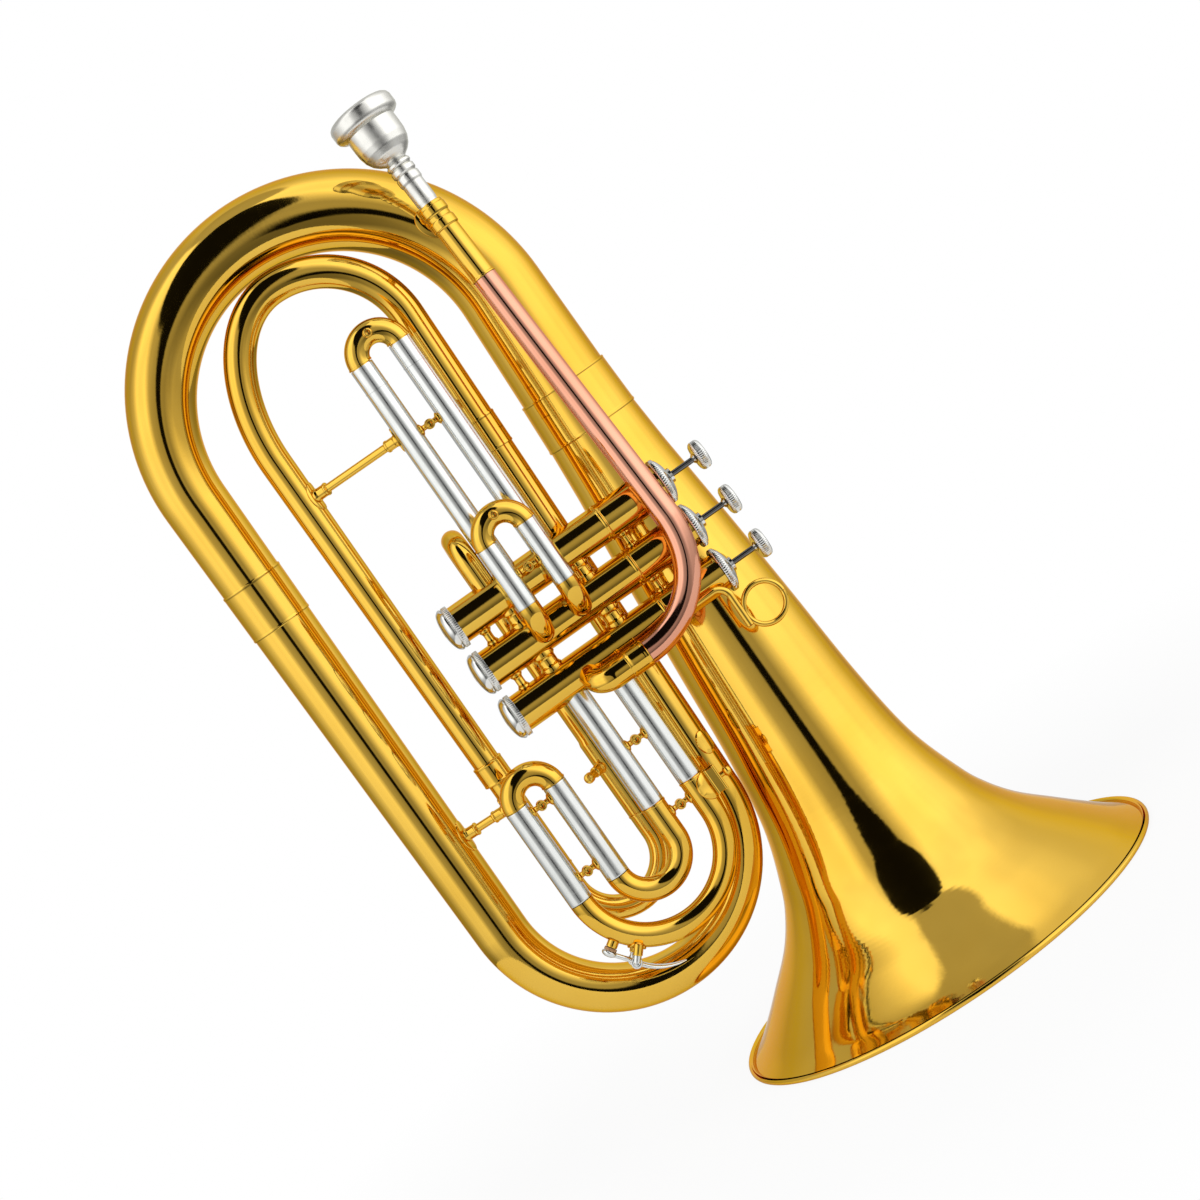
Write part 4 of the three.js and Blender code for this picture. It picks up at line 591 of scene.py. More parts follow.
def make_valve(i):
    n = i + 1
    z = VALVE_Z[i]
    foot = at(CASING_LOW, VALVE_DEPTH, z)
    top, lip, r = CASING_LENGTH, CASING_LIP, CASING_R

    shape = Shape()
    profile = [(9.7, 1.5), (9.7, 1), (r, 1), (r, lip - 1.1), (10.85, lip - 0.5), (10.85, lip + 0.5),
               (r, lip + 1.1), (r, top - 1), (9.7, top - 1), (9.7, top - 1.5)]
    lathe(shape, soften(profile, 0.3, 3), foot, BUTTONS, 72)
    if i == 1:
        # The knuckles and struts to both neighbours ride with the middle casing
        for x, radius in ((-54, 6.3), (-95.5, 6.3), (-25, 3.4), (-113, 3.4)):
            for direction in (UP, DOWN):
                waist = radius - 1
                spool = [(0, 8), (radius, 8), (radius, 10.9), (radius - 0.4, 11.3), (waist, 12.3),
                         (waist, 15.9), (radius - 0.4, 16.9), (radius, 17.3), (radius, 20), (0, 20)]
                lathe(shape, soften(spool, 0.4, 3), at(x, VALVE_DEPTH, z), direction, 40)
    piece(f"casing_{n}", shape, "horn", "lacquer", (f"valve_casing_{n}",))

    shape = Shape()
    dome = [(lerp(12.5, 4.5, t), 1.6 + 3.0 * math.sin(t * math.pi / 2) ** 0.9)
            for t in (0.12, 0.3, 0.5, 0.7, 0.88, 1)]
    profile = [(r, -1.6), (12.5, -1.6), (12.9, -1.2), (12.9, -0.2), (12.9, 1.0), (12.6, 1.5), (12.2, 1.55)]
    profile += dome + [(4.2, 4.8), (4.2, 6.3), (3.8, 6.5), (2.3, 6.5), (2.3, 4)]
    lathe(shape, profile, foot + BUTTONS * top, BUTTONS, 240, knurl=(-1.3, 1.1, 0.35, CAP_TEETH))
    piece(f"cap_top_{n}", shape, "horn", "silver_plate", (f"top_cap_{n}",), sharp=40, finish=CHROME)

    shape = Shape()
    profile = [(10.5, 3.0), (12.0, 3.0), (12.1, 2.6), (12.1, 0.4), (11.6, 0), (11.6, -0.3), (12.1, -0.7),
               (12.1, -1.6), (11.7, -2.3)]
    profile += [(11.4 * math.cos(t), -2.3 - 3.4 * math.sin(t))
                for t in (math.pi / 2 * k / 10 for k in range(1, 9))]
    profile += [(1.9, -5.5), (1.5, -5.2), (1.3, -3.5), (0, -3.5)]
    lathe(shape, profile[::-1], foot, BUTTONS, 240, knurl=(0.3, 2.7, 0.35, CAP_TEETH))
    piece(f"cap_bottom_{n}", shape, "horn", "silver_plate", (f"bottom_cap_{n}",), sharp=40, finish=CHROME)

    low = BUTTON_LOW
    shape = lathe(Shape(), [(0, 122), (1.6, 122), (1.6, low + 1), (0, low + 1)], foot, BUTTONS, 32)
    piece(f"stem_{n}", shape, f"valve_{n}", "silver_plate", (f"finger_button_{n}",), finish=STEM)
    profile = [(0, low - 1.5), (1.5, low - 1.5), (2.0, low - 1.4), (2.9, low - 0.5), (3.6, low),
               (6.6, low + 0.2), (7.6, low + 0.8), (8.2, low + 1.9), (8.2, low + 4.6), (7.8, low + 5.6),
               (7.0, low + 6.2), (6.2, low + 6.3), (5.6, low + 5.9), (0, low + 5.6)]
    shape = lathe(Shape(), profile, foot, BUTTONS, 240, knurl=(low + 1.6, low + 4.8, 0.3, BUTTON_TEETH))
    piece(f"button_{n}", shape, f"valve_{n}", "silver_plate", (f"finger_button_{n}",), sharp=40, finish=CHROME)


for valve in range(3):
    make_valve(valve)


# Valve slides. A slide's upper and lower legs are (x, depth).

SLEEVE_R, SLEEVE_2_R, TUNING_R = 6.6, 6.1, 6.8
SLEEVE_WALL = 0.9
# A crook's legs are thinner by LEG_STEP, and reach this far into the sleeves, as the solids' own do
LEG_STEP = 1.05
LEG_1, LEG_2, LEG_3, LEG_TIP, LEG_TUNING = 42, 24, 42, 20, 32


def sleeves(shape, upper, lower, low, high, radius):
    """Two straight tubes with a bore, from one height to another."""
    bore, length = radius - SLEEVE_WALL, high - low
    profile = [(bore, 0.6), (bore, 0), (radius, 0), (radius, length), (bore, length), (bore, length - 0.6)]
    for x, depth in (upper, lower):
        lathe(shape, soften(profile, 0.25, 3), at(x, depth, low), UP, 56)


def rung(name, body, node, upper, lower, z, radius=SLEEVE_R):
    """A short strut between two legs, with a small drilled barrel in its middle."""
    shape = Shape()
    a, b = at(*upper, z), at(*lower, z)
    half = (a - b).length / 2 - 2
    profile = [(0, radius - 2), (3.4, radius - 2), (3.4, radius + 0.2), (2.6, radius + 0.7), (1.6, radius + 1.2),
               (1.5, half), (0, half)]
    for start, end in ((a, b), (b, a)):
        lathe(shape, soften(profile, 0.35, 2), start, end - start, 32)
    barrel = [(0, -2.7), (2.4, -2.7), (2.8, -2.2), (2.8, 2.4), (2.5, 2.9), (1.7, 2.9), (1.4, 2.5), (1.3, -1.6),
              (0, -1.7)]
    lathe(shape, soften(barrel, 0.25, 2), a.lerp(b, 0.5), FRONT, 40)
    piece(name, shape, body, "lacquer", (node,))


def line_rings(shape, upper, lower, z, radius):
    """A fine raised line round both sleeves."""
    profile = [(radius - 0.4, 0), (radius + 0.12, 0.1), (radius + 0.2, 0.5), (radius + 0.12, 0.9),
               (radius - 0.4, 1)]
    for x, depth in (upper, lower):
        lathe(shape, profile, at(x, depth, z), UP, 56)


def crook(shape, upper, lower, z, heading, radius, grip, run=0):
    """A slide's bow, with straight runs before it and thinner legs that reach into the sleeves."""
    start = at(*upper, z)
    end = at(*lower, z)
    path = Path(start - heading * grip, heading, radius - LEG_STEP).to(start).mark(radius)
    if run:
        path.go(run, steps=3)
    path.bow(end + heading * run, steps=40)
    if run:
        path.to(end, steps=3)
    path.mark(radius - LEG_STEP).go(grip)
    tube(shape, path, 56)
    ring = [(radius - 0.4, 0), (radius + 0.25, 0.15), (radius + 0.32, 0.6), (radius + 0.25, 1.1),
            (radius - 0.4, 1.3)]
    for point in (start, end):
        lathe(shape, ring, point, heading, 56)


def knob(shape, upper, lower, z, radius):
    """The pull knob on the front of a crook that points up."""
    a, b = at(*upper, z), at(*lower, z)
    top = a.lerp(b, 0.5) + UP * ((a - b).length / 2)
    stem = [(0, -2), (2.6, -2), (2.6, 0.1), (1.9, 0.6), (1.3, 1.1), (1.3, 1.5), (2.1, 1.9), (2.5, 2.8), (2.4, 3.7),
            (1.9, 4.3), (1.2, 4.3), (1.0, 3.9), (0.9, 2.2), (0, 2.2)]
    profile = [(r, radius + h) for r, h in stem]
    lathe(shape, soften(profile, 0.3, 2), top, FRONT, 32)


u1, l1 = (SLIDE_1, VALVE_DEPTH), (SLIDE_1 - LEG, VALVE_DEPTH)
crook_z = 437.3
shape = Shape()
sleeves(shape, u1, l1, VALVE_Z[0], 437, SLEEVE_R)
line_rings(shape, u1, l1, 422.6, SLEEVE_R)
piece("first_slide_sleeves", shape, "horn", "nickel", ("slide_1_sleeves",))
rung("first_slide_rung", "horn", "slide_1_sleeves", u1, l1, 392.8)
shape = Shape()
crook(shape, u1, l1, crook_z, UP, SLEEVE_R, LEG_1)
knob(shape, u1, l1, crook_z, SLEEVE_R)
piece("first_slide_bow", shape, "slide_1", "lacquer", ("slide_1_crook",))

u2, l2 = (SLIDE_2, FRONT_DEPTH), (SLIDE_2 - LEG, FRONT_DEPTH)
crook_z = 324.85
shape = Shape()
sleeves(shape, u2, l2, 288.05, 324.55, SLEEVE_2_R)
piece("second_slide_sleeves", shape, "horn", "nickel", ("slide_2_sleeves",))
rung("second_slide_rung", "horn", "slide_2_sleeves", u2, l2, 304.45, SLEEVE_2_R)
shape = Shape()
crook(shape, u2, l2, crook_z, UP, SLEEVE_2_R, LEG_2)
knob(shape, u2, l2, crook_z, SLEEVE_2_R)
piece("second_slide_bow", shape, "slide_2", "lacquer", ("slide_2_crook",))
# The elbows end in the casing's wall, this far from its axis
wall_r = 9.9
for x, node in ((SLIDE_2, "slide_2_upper_elbow"), (SLIDE_2 - LEG, "slide_2_lower_elbow")):
    path = Path(at(x, FRONT_DEPTH, 289.5), DOWN, 5.6).to(at(x, FRONT_DEPTH, 287.75)).mark(SLEEVE_2_R)
    path.bend(BACK, 16.6, math.pi / 2, steps=20).to(at(x, VALVE_DEPTH + 8, VALVE_Z[1]))
    shape = tube(Shape(), path, 56)
    for point in shape.points:
        rise = point.z - VALVE_Z[1]
        if math.hypot(point.y + VALVE_DEPTH, rise) < wall_r:
            point.y = -VALVE_DEPTH - math.sqrt(wall_r ** 2 - rise ** 2)
    piece(node + "_tube", shape, "horn", "lacquer", (node,))

u3, l3 = (SLIDE_3, VALVE_DEPTH), (SLIDE_3 - LEG, VALVE_DEPTH)
BEND_Z, INNER_BEND, OUTER_BEND = 144.0, 18.1, LEG + 18.1
BEND_X = SLIDE_3 - LEG - INNER_BEND
LOOP_UP, LOOP_LOW = (BEND_X - INNER_BEND, VALVE_DEPTH), (BEND_X - OUTER_BEND, VALVE_DEPTH)
LEG_Z, RUNG_Z = 163.9, 155.4
shape = Shape()
sleeves(shape, u3, l3, LEG_Z + 0.3, VALVE_Z[2], SLEEVE_R)
piece("third_slide_sleeves", shape, "horn", "nickel", ("slide_3_sleeves",))
rung("third_slide_rung", "horn", "slide_3_sleeves", u3, l3, 196.8)

shape = Shape()
for start, end in ((u3, LOOP_LOW), (l3, LOOP_UP)):
    path = Path(at(*start, LEG_Z + LEG_3), DOWN, SLEEVE_R - LEG_STEP).to(at(*start, LEG_Z)).mark(SLEEVE_R)
    path.to(at(*start, BEND_Z), steps=3).bow(at(*end, BEND_Z), steps=56)
    tube(shape, path, 56)
    lathe(shape, [(6.2, 0), (6.85, 0.15), (6.92, 0.6), (6.85, 1.1), (6.2, 1.3)], at(*start, LEG_Z), DOWN, 56)
rung("third_slide_bend_rung", "slide_3", "slide_3_bends", u3, l3, RUNG_Z)

BEND_CENTRE = at(BEND_X, VALVE_DEPTH, BEND_Z)
SURFACE = OUTER_BEND + SLEEVE_R
# The water key's nipple and pivot, in degrees round the outer bend
NIPPLE, KEY_TURN = 56, 41
NIPPLE_R = SURFACE + 3.2


def key_point(degrees, radius):
    """A point at an angle round the bends' centre: 0 is straight down."""
    a = math.radians(degrees)
    return BEND_CENTRE + Vector((-math.sin(a), 0, -math.cos(a))) * radius


rod(shape, key_point(NIPPLE, SURFACE - 2), key_point(NIPPLE, NIPPLE_R), 3.0, 36)
piece("third_slide_bends", shape, "slide_3", "lacquer", ("slide_3_bends",))

shape = Shape()
sleeves(shape, LOOP_UP, LOOP_LOW, 144.3, 203, SLEEVE_R)
piece("third_slide_lower_sleeves", shape, "slide_3", "nickel", ("slide_3_lower_sleeves",))
rung("third_slide_low_rung", "slide_3", "slide_3_lower_sleeves", LOOP_UP, LOOP_LOW, RUNG_Z)
rung("third_slide_high_rung", "slide_3", "slide_3_lower_sleeves", LOOP_UP, LOOP_LOW, 197.4)
shape = Shape()
crook(shape, LOOP_UP, LOOP_LOW, 203.3, UP, SLEEVE_R, LEG_TIP)
piece("third_slide_bow", shape, "slide_3_tip", "lacquer", ("slide_3_crook",))


# Music clip holder

def box(shape, centre, size, bevel):
    """A block with bevelled edges."""
    hx, hy, hz = (s / 2 for s in size)
    rings = []
    for z, inset in ((-hz, bevel), (-hz + bevel, 0), (hz - bevel, 0), (hz, bevel)):
        x, y = hx - inset, hy - inset
        c = bevel * 0.8
        corners = [(x - c, -y), (x, -y + c), (x, y - c), (x - c, y), (-x + c, y), (-x, y - c), (-x, -y + c),
                   (-x + c, -y)]
        rings.append(shape.ring([centre + Vector((px, py, z)) for px, py in corners]))
    shape.stack(rings)


mid = at(SLIDE_3 + 10.3, VALVE_DEPTH, RUNG_Z)
tall = 14.2
shape = Shape()
for side in (-1, 1):
    for end in (-1, 1):
        corner = mid + Vector((end * 2.5, side * 3.3, 0))
        rod(shape, corner + DOWN * 7.35, corner + UP * 7.35, 0.95, 20)
    box(shape, mid + Vector((0, side * 3.3, 0)), (5.2, 1.3, tall), 0.4)
    box(shape, mid + Vector((side * 2.85, 0, 0)), (1.1, 6.6, tall), 0.4)
saddle(shape, at(SLIDE_3, VALVE_DEPTH, RUNG_Z), UP, BUTTONS + FRONT * 0.5, 6.75, 8.2, 8.6, 1.0)
rod(shape, mid + BUTTONS * 2.3, mid + BUTTONS * 6.5, 1.5)
ball(shape, mid + BUTTONS * 8, 3.1, 0.8, BUTTONS)
piece("clip_holder", shape, "slide_3", "lacquer", ("music_clip_holder",))


# Water key: ears on the outer bend with hubs and a pin, and a lever with its cup and cork

KEY_LIFT = 7.6
PIVOT = key_point(KEY_TURN, SURFACE + KEY_LIFT)
# Half the distance between the ears: the lever's hub, the spring's coils, their play and half an ear
EAR = 1.1 + 3 * 1.15 + 0.6 + 0.6 + 0.7
ears, foot = Shape(), Shape()
hub = [(0, -0.7), (2.7, -0.7), (3.1, -0.3), (3.1, 0.5), (2.7, 0.9), (1.6, 0.9), (1.2, 0.5), (0, 0.4)]
for side in (-1, 1):
    offset = BACK * (side * EAR)
    lathe(ears, soften(hub, 0.2, 2), PIVOT + offset, BACK * side, 36)
    rod(ears, key_point(KEY_TURN, SURFACE + 3.4) + offset, PIVOT + offset, 2.1, 24)
    rod(foot, key_point(KEY_TURN, OUTER_BEND + 4) + offset, key_point(KEY_TURN, SURFACE + 3.6) + offset, 2.6, 24)
rod(ears, PIVOT - BACK * EAR, PIVOT + BACK * EAR, 0.9, 24)
piece("key_saddle", ears, "slide_3", "nickel", ("water_key_saddle",))
saddle(foot, key_point(KEY_TURN, OUTER_BEND), key_point(KEY_TURN + 9, 1) - key_point(KEY_TURN - 9, 1),
       key_point(KEY_TURN, 1) - BEND_CENTRE, SLEEVE_R, 5.0, 6.8, 0.9)
piece("key_foot", foot, "slide_3", "lacquer", ("water_key_saddle",))

shape = Shape()
cup_low = NIPPLE_R + 1.6 + 0.6
cup = [(0, 0), (3.9, 0), (4.1, 0.5), (4.0, 1.3), (3.2, 2.3), (1.8, 2.9), (0, 3.1)]
lathe(shape, soften(cup, 0.3, 2), key_point(NIPPLE, cup_low), key_point(NIPPLE, 2) - key_point(NIPPLE, 1), 40)
rod(shape, PIVOT - BACK * 1.1, PIVOT + BACK * 1.1, 2.4, 36)
cup_top = key_point(NIPPLE, cup_low + 1.2)
tube(shape, Path(cup_top, PIVOT - cup_top, 1.3).to(PIVOT), 24)
knots = [key_point(degrees, SURFACE + lift) for degrees, lift in
         ((KEY_TURN, KEY_LIFT), (38, 8.7), (34, 9.7), (30, 10.4), (26, 10.8), (22, 11.0), (18, 11.1), (14, 11.0))]
blade = [(1.5, 1.3), (2.4, 1.4), (3.1, 1.4), (3.4, 1.3), (3.3, 1.15), (2.9, 0.95), (2.1, 0.75), (0.7, 0.4)]
rings = []
for i, (knot, (wide, thick)) in enumerate(zip(knots, blade)):
    ahead = (knots[min(i + 1, len(knots) - 1)] - knots[max(i - 1, 0)]).normalized()
    out = BACK.cross(ahead).normalized()
    rings.append(shape.ring([knot + BACK * (wide * math.cos(t)) + out * (thick * math.sin(t))
                             for t in (2 * math.pi * k / 24 for k in range(24))]))
shape.stack(rings)
piece("key_lever", shape, "water_key", "nickel", ("water_key_lever",))
shape = Shape()
rod(shape, key_point(NIPPLE, SURFACE + 3.5), key_point(NIPPLE, SURFACE + 5.1), 3.4, 36)
piece("key_cork", shape, "water_key", "cork", ("water_key_cork",))


# Return bow, crossover with its rest post, tuning slide

CROSS = (-98.6, INNER_DEPTH)
TUBE_R = 6.1
path = Path(at(-100, VALVE_DEPTH, VALVE_Z[0]), UP, TUBE_R).go(20.2, steps=3).bow(at(*CROSS, 319.5), steps=36)
path.to(at(*CROSS, 212), TUBE_R, 4).to(at(*CROSS, 208.8), 6.15).to(at(*CROSS, 206.4), TUNING_R)
path.to(at(*CROSS, 160.9), TUNING_R, 3)
shape = tube(Shape(), path, 56)
post_z = 191.8
root = at(*CROSS, post_z)
profile = [(0, 5), (3.6, 5), (3.6, 8.0), (3.0, 8.6), (3.0, 12.6), (2.3, 13.0), (2.3, 16.8), (2.9, 17.3),
           (2.9, 19.6), (2.3, 20.6), (0, 21)]
lathe(shape, soften(profile, 0.4, 3), root, at(*LOOP_UP, post_z) - root, 32)
piece("crossover", shape, "horn", "lacquer", ("return_bow", "crossover_tube"))

shape = Shape()
profile = [(5, 0.2), (TUNING_R, 0), (TUNING_R, 56), (8.3, 56.1), (8.75, 56.7), (8.5, 57.5), (8.5, 66.9),
           (8.75, 67.7), (8.3, 68.4), (7, 68.4)]
lathe(shape, soften(profile, 0.3, 3), at(INNER_LOW, INNER_DEPTH, 160.8), UP, 56)
piece("tuning_sleeve", shape, "horn", "lacquer", ("tuning_slide_sleeve",))

shape = Shape()
crook(shape, CROSS, (INNER_LOW, INNER_DEPTH), 160.5, DOWN, TUNING_R, LEG_TUNING, 13.4)
piece("main_tuning_slide", shape, "tuning", "lacquer", ("tuning_slide",))


# Mouthpiece, receiver, leadpipe

MOUTH = at(-12.2, 38, 551.6)
OVER = at(-3.2, FRONT_DEPTH, 285)
AXIS = (OVER - MOUTH).normalized()


def on_axis(distance):
    return MOUTH + AXIS * distance


# The mouthpiece's rim sits this far along the axis from the CAD's
RIM = 4.8
hollow = [(0, 30), (3.0, 30), (3.4, 26), (5.6, 22.5), (8.2, 18), (10.3, 13), (11.7, 8.5), (12.5, 4.5), (12.9, 2.2)]
rim = [(13.3, 1.0), (14.2, 0.3), (15.6, 0), (17.0, 0.5), (18.2, 1.5), (18.9, 3.1)]
outside = [(18.9, 7.8), (18.4, 9.4), (17.0, 10.6), (15.2, 11.1), (14.4, 11.6), (14.4, 17), (14.2, 21.5),
           (13.3, 25.5), (11.4, 29.0), (9.2, 31.2), (7.4, 32.4), (6.2, 33.2), (5.9, 34.0), (6.4, 34.5),
           (6.9, 35.2), (6.9, 36.4), (6.3, 37.0), (5.9, 37.5), (6.3, 38.0), (6.8, 38.6), (6.8, 41.0), (6.3, 41.6),
           (5.9, 42.1), (6.3, 42.6), (6.6, 43.2), (6.6, 46.6), (6.2, 47.3), (6.0, 48.0), (5.9, 59.5), (5.6, 60.5),
           (5.2, 86), (0, 86)]
shape = lathe(Shape(), hollow + rim + outside, on_axis(RIM), AXIS, 96)
piece("mouthpiece_silver", shape, "mouthpiece", "silver_plate", ("mouthpiece",), sharp=35)

receiver_end = 113.9
profile = [(5.7, 68.0), (6.1, 66.6), (6.9, 66.6), (7.2, 67.2), (7.2, 68.4), (7.6, 68.9), (7.6, 72.6), (7.2, 73.4),
           (6.8, 74.0), (6.8, 76.2), (7.2, 76.7), (7.5, 77.4), (7.5, 81.3), (7.1, 82.0), (6.6, 82.2), (6.6, 112.4),
           (6.9, 112.8), (6.9, 113.7), (5, receiver_end)]
shape = lathe(Shape(), soften(profile, 0.25, 3), MOUTH, AXIS, 64)
piece("receiver_tube", shape, "horn", "lacquer", ("mouthpiece_receiver",))

# The leadpipe turns into the inlet along a cubic curve from OVER to INLET
LEAD_R, LEAD_STEPS = 7.2, 40
INLET_X, INLET_Z = -52, 233.1
INLET = at(INLET_X, FRONT_DEPTH, INLET_Z)
first = OVER + DOWN * (0.67 * 51.9)
second = INLET + BUTTONS * (0.5 * 48.8)
path = Path(on_axis(receiver_end), AXIS, 6.6).to(OVER.lerp(on_axis(114), 0.03), 7.18, 8)
for i in range(LEAD_STEPS + 1):
    t = i / LEAD_STEPS
    s = 1 - t
    point = OVER * s ** 3 + first * (3 * s * s * t) + second * (3 * s * t * t) + INLET * t ** 3
    ahead = (first - OVER) * (s * s) + (second - first) * (2 * s * t) + (INLET - second) * (t * t)
    path.stations.append((point, ahead.normalized(), LEAD_R))
piece("rose_leadpipe", tube(Shape(), path, 64), "horn", "rose_brass", ("leadpipe",))

path = Path(at(INLET_X - 0.3, FRONT_DEPTH, INLET_Z), CAPS, LEAD_R).mark(7.5).go(0.3, 7.75).go(1.2, 7.75)
path.go(0.4, 7.6).go(8.4, 7.6).go(0.4, 7.75).go(1.0, 7.75).go(0.3, 7.5).mark(LEAD_R)
turn_x, turn_r = -72.9, 9
path.to(at(turn_x, FRONT_DEPTH, INLET_Z), LEAD_R)
inward = Vector((0, FRONT_DEPTH - VALVE_DEPTH, VALVE_Z[2] - INLET_Z)).normalized()
path.bend(inward, turn_r, math.pi / 2, TUBE_R, 20)
path.to(at(turn_x - turn_r, VALVE_DEPTH, VALVE_Z[2]).lerp(at(turn_x - turn_r, FRONT_DEPTH, INLET_Z), 0.3))
piece("inlet_elbow_tube", tube(Shape(), path, 56), "horn", "lacquer", ("inlet_elbow",))


# Finger hook and ring, posts and braces

depth = VALVE_DEPTH + math.sqrt(12.8 ** 2 - 5.3 ** 2)
hook_x, ring_r = 1.5, 11.3
path = Path(at(-22, depth, 237.7), BUTTONS, 1.2).go(0.6, 2.1).go(15.9).bend(DOWN, 7, math.pi / 2, steps=16)
path.to(at(hook_x, depth, 212.3), steps=2).go(0.5, 1.6)
shape = tube(Shape(), path, 32)
path = Path(at(hook_x + 1.5 + 2 * ring_r, depth, 217.5), UP, 1.5)
path.bend(CAPS, ring_r, 2 * math.pi - 0.02, steps=72)
tube(shape, path, 24)
piece("hook_and_ring", shape, "horn", "lacquer", ("finger_hook",))


def post(name, node, a, b, feet, rod_r, radii, flanges):
    """A post from tube a to tube b. A flange is (end, axis, radius of the tube, half length, half width)."""
    shape = Shape()
    turned_post(shape, a, b, *feet, rod_r, *radii)
    for end, axis, radius, long, wide in flanges:
        saddle(shape, end, axis, (b - a) if end is a else (a - b), radius, long, wide)
    piece(name, shape, "horn", "lacquer", (node,))


z = 395.5
a, b = at(*l1, z), at(INNER_LOW, INNER_DEPTH, z)
post("upper_post", "post_1", a, b, (3.6, 3.9), 2.3, (SLEEVE_R, 8.4),
     ((a, UP, SLEEVE_R, 7.5, 5.0), (b, UP, 8.43, 8.5, 6.0)))

z = 201.8
a, b = at(INNER_LOW, INNER_DEPTH, z), on_bottom(z)
post("lower_post", "post_2", a, b, (3.6, 3.9), 2.3, (TUNING_R, bottom_r(z)),
     ((a, UP, TUNING_R, 7.5, 5.0), (b, UP, bottom_r(z), 9.5, 7.0)))

for n, z in ((1, VALVE_Z[0]), (2, VALVE_Z[2])):
    a, b = at(-CASING_R, VALVE_DEPTH, z), at(0, 0, z)
    post(f"bell_post_{n}", f"bell_brace_{n}", a, b, (4.2, 4.2), 2.1, (CASING_R, bell_r(z)),
         ((b, UP, bell_r(z), 10, 7.5),))

z = 477.56
a = along(MOUTH, OVER, z)
rise = z - OUTER_TOP
b = at(TAIL_X - OUTER_BOW_R + math.sqrt(OUTER_BOW_R ** 2 - rise ** 2), 0, z)
axis = Vector((-rise, 0, b.x - AXIS_X - TAIL_X + OUTER_BOW_R)).normalized()
post("receiver_post", "receiver_brace", a, b, (4.2, 4.2), 2.1, (7.3, 23.0), ((b, axis, 23.0, 10, 7.5),))


# The solids that stay get the finish of their slot

for name, node in frame["nodes"].items():
    for slot in node.material_slots:
        label = slot.material.name if slot.material else ""
        finish = next((FINISH[key] for key in FINISH if label.startswith(key)), None)
        if finish is None:
            finish = NICKEL
            if "spring" in name:
                finish = STEEL
            elif "guide" in name:
                finish = PLASTIC
        slot.material = finish


# Floor, world and lamps

def floor():
    """A white disc, in metres. It glows for the camera and, more weakly, for what metal shows of it."""
    reach, sides = 0.6, 64
    mesh = bpy.data.meshes.new("floor")
    corners = [(reach * math.cos(t), reach * math.sin(t), 0)
               for t in (2 * math.pi * i / sides for i in range(sides))]
    mesh.from_pydata(corners, [], [tuple(range(sides))])
    thing = bpy.data.objects.new("floor", mesh)
    bpy.context.collection.objects.link(thing)
    material, n, surface = new_material("white_floor")
    diffuse = n.add("ShaderNodeBsdfDiffuse")
    diffuse.inputs["Color"].default_value = colour4(0.68)
    glow = n.add("ShaderNodeEmission")
    glow.inputs["Color"].default_value = colour4(1)
    mix = n.add("ShaderNodeMixShader")
    rays = n.add("ShaderNodeLightPath")
    mirrored = n.calc("MULTIPLY", rays.outputs["Is Glossy Ray"], 0.4)
    seen = n.calc("MAXIMUM", rays.outputs["Is Camera Ray"], mirrored)
    # The white takes over towards the edge, so that the floor has no outline of its own
    centre = n.add("ShaderNodeVectorMath", operation="LENGTH")
    n.link(n.add("ShaderNodeTexCoord").outputs["Object"], centre.inputs[0])
    fade = n.spread(centre.outputs["Value"], 0.25, 0.56, 0.9, 1.0)
    n.link(n.calc("MULTIPLY", seen, fade), mix.inputs["Fac"])
    n.link(diffuse.outputs[0], mix.inputs[1])
    n.link(glow.outputs[0], mix.inputs[2])
    n.link(mix.outputs[0], surface)
    mesh.materials.append(material)


floor()

# Where the camera looks, level with the ground
AHEAD_X, AHEAD_Y = 0.0934, 0.9956


def by_degrees(stops, low, high):
    """Puts a ramp's stops, given in degrees, on 0 to 1."""
    return [((degrees - low) / (high - low), value) for degrees, value in stops]


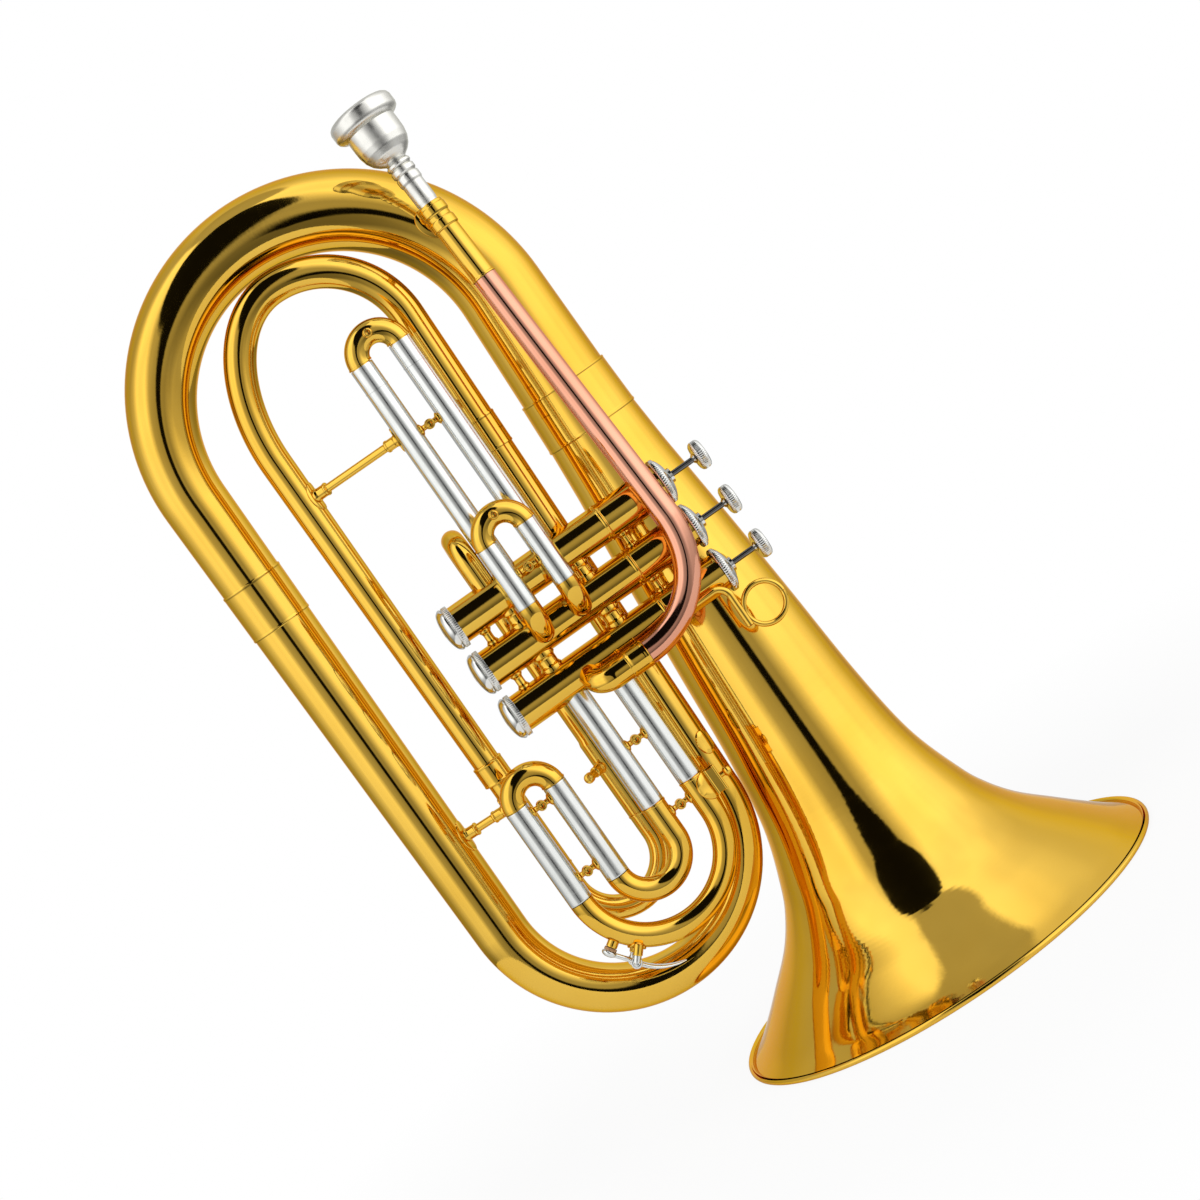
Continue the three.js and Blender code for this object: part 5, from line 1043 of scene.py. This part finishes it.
def world():
    """A light tent: two broad panels, a narrow dark opening between them, and white all round for the camera."""
    sky = bpy.data.worlds.new("studio")
    bpy.context.scene.world = sky
    sky.use_nodes = True
    n = Nodes(sky.node_tree)
    out = n.add("ShaderNodeOutputWorld")
    where = n.add("ShaderNodeTexCoord").outputs["Generated"]

    def along_axis(x, y, z):
        node = n.add("ShaderNodeVectorMath", operation="DOT_PRODUCT")
        node.inputs[1].default_value = (x, y, z)
        n.link(where, node.inputs[0])
        return node.outputs["Value"]

    def blend(factor, a, b):
        """From socket a to the number b."""
        node = n.add("ShaderNodeMix", data_type="FLOAT")
        node.inputs[3].default_value = b
        n.link(factor, node.inputs["Factor"])
        n.link(a, node.inputs[2])
        return node.outputs[0]

    # Round the horizon in degrees, 0 towards the viewer and growing towards the finger buttons
    turn = n.calc("ARCTAN2", along_axis(AHEAD_Y, -AHEAD_X, 0), along_axis(-AHEAD_X, -AHEAD_Y, 0))
    lift = n.spread(n.calc("ARCSINE", along_axis(0, 0, 1)), -math.pi / 2, math.pi / 2)
    round_stops = [(-180, 0.8), (-150, 0.6), (-112, 0.52), (-96, 0.75), (-74, 1.35), (-40, 1.35), (-26, 0.55),
                   (0, 0.4), (16, 0.42), (26, 0.8), (38, 1.4), (78, 1.45), (98, 1.2), (125, 0.9), (152, 0.75),
                   (180, 0.8)]
    walls = n.ramp(n.spread(turn, -math.pi, math.pi), by_degrees(round_stops, -180, 180))
    lift_stops = [(-90, 0.38), (-50, 0.32), (-30, 0.34), (-16, 0.5), (-7, 0.85), (2, 1.0), (90, 1.0)]
    tall = n.ramp(lift, by_degrees(lift_stops, -90, 90))
    uneven = n.ramp(n.noise(where, 1.7, 2), [(0.3, 0.86), (0.7, 1.1)])
    studio = n.calc("MULTIPLY", walls, tall)
    # The panels end below the ceiling, which is darker and the same all round. On the left they end higher.
    ceiling_low, ceiling_high, ceiling_level, left_lift = 69, 71.5, 0.5, 9
    left = n.calc("MULTIPLY", n.spread(turn, math.radians(10), math.radians(-40)),
                  n.spread(turn, math.radians(-180), math.radians(-130)))
    height = n.calc("ADD", n.calc("MULTIPLY", left, -left_lift / 180), lift)
    above = n.spread(height, (ceiling_low + 90) / 180, (ceiling_high + 90) / 180)
    studio = n.calc("MULTIPLY", blend(above, studio, ceiling_level), uneven)
    # The opening that the picture is taken through: a narrow gap low down, much wider above. A stop at -2
    # closes it, because its soft edge lies inside it.
    gap_stops = [(-90, -2), (-28, -2), (-20, 4.5), (4, 5.5), (14, 7.5), (24, 12), (34, 21), (46, 29), (60, 34),
                 (68, 35), (73, 27), (77, -2)]
    gap_add, gap_level = 3, 0.015
    gap = n.ramp(lift, by_degrees([(d, math.radians(v + gap_add)) for d, v in gap_stops], -90, 90))
    beyond = n.calc("SUBTRACT", n.calc("ABSOLUTE", turn), gap)
    edge = n.spread(beyond, math.radians(-4.2), math.radians(-1.4), gap_level)
    studio = n.calc("MULTIPLY", studio, edge)
    # White for the camera, for what shows through, and for what metal shows of the wall behind
    rays = n.add("ShaderNodeLightPath")
    wall = n.spread(along_axis(AHEAD_X, AHEAD_Y, 0), 0.8, 0.95)
    behind = n.calc("MULTIPLY", rays.outputs["Is Glossy Ray"], wall)
    white = n.calc("MAXIMUM", rays.outputs["Is Camera Ray"], rays.outputs["Is Transmission Ray"])
    white = n.calc("MAXIMUM", white, behind)
    back = n.add("ShaderNodeBackground")
    back.inputs["Color"].default_value = (1, 1, 1, 1)
    n.link(blend(white, studio, 1.0), back.inputs["Strength"])
    n.link(back.outputs[0], out.inputs["Surface"])


world()


def lamp(name, place, target, size_x, size_y, watts):
    """A soft lamp, in metres. Metal doesn't show it."""
    light = bpy.data.lights.new(name, "AREA")
    light.shape = "RECTANGLE"
    light.size = size_x
    light.size_y = size_y
    light.energy = watts
    thing = bpy.data.objects.new(name, light)
    bpy.context.collection.objects.link(thing)
    thing.location = place
    thing.rotation_euler = (Vector(target) - Vector(place)).to_track_quat("-Z", "Y").to_euler()
    thing.visible_glossy = False


lamp("key", (-1.5, -1.1, 1.5), (0, 0, 0.3), 1.0, 1.4, 22)
lamp("fill", (1.6, -1.0, 0.6), (0, 0, 0.25), 0.9, 1.2, 12)

bpy.context.scene.view_settings.view_transform = "Standard"
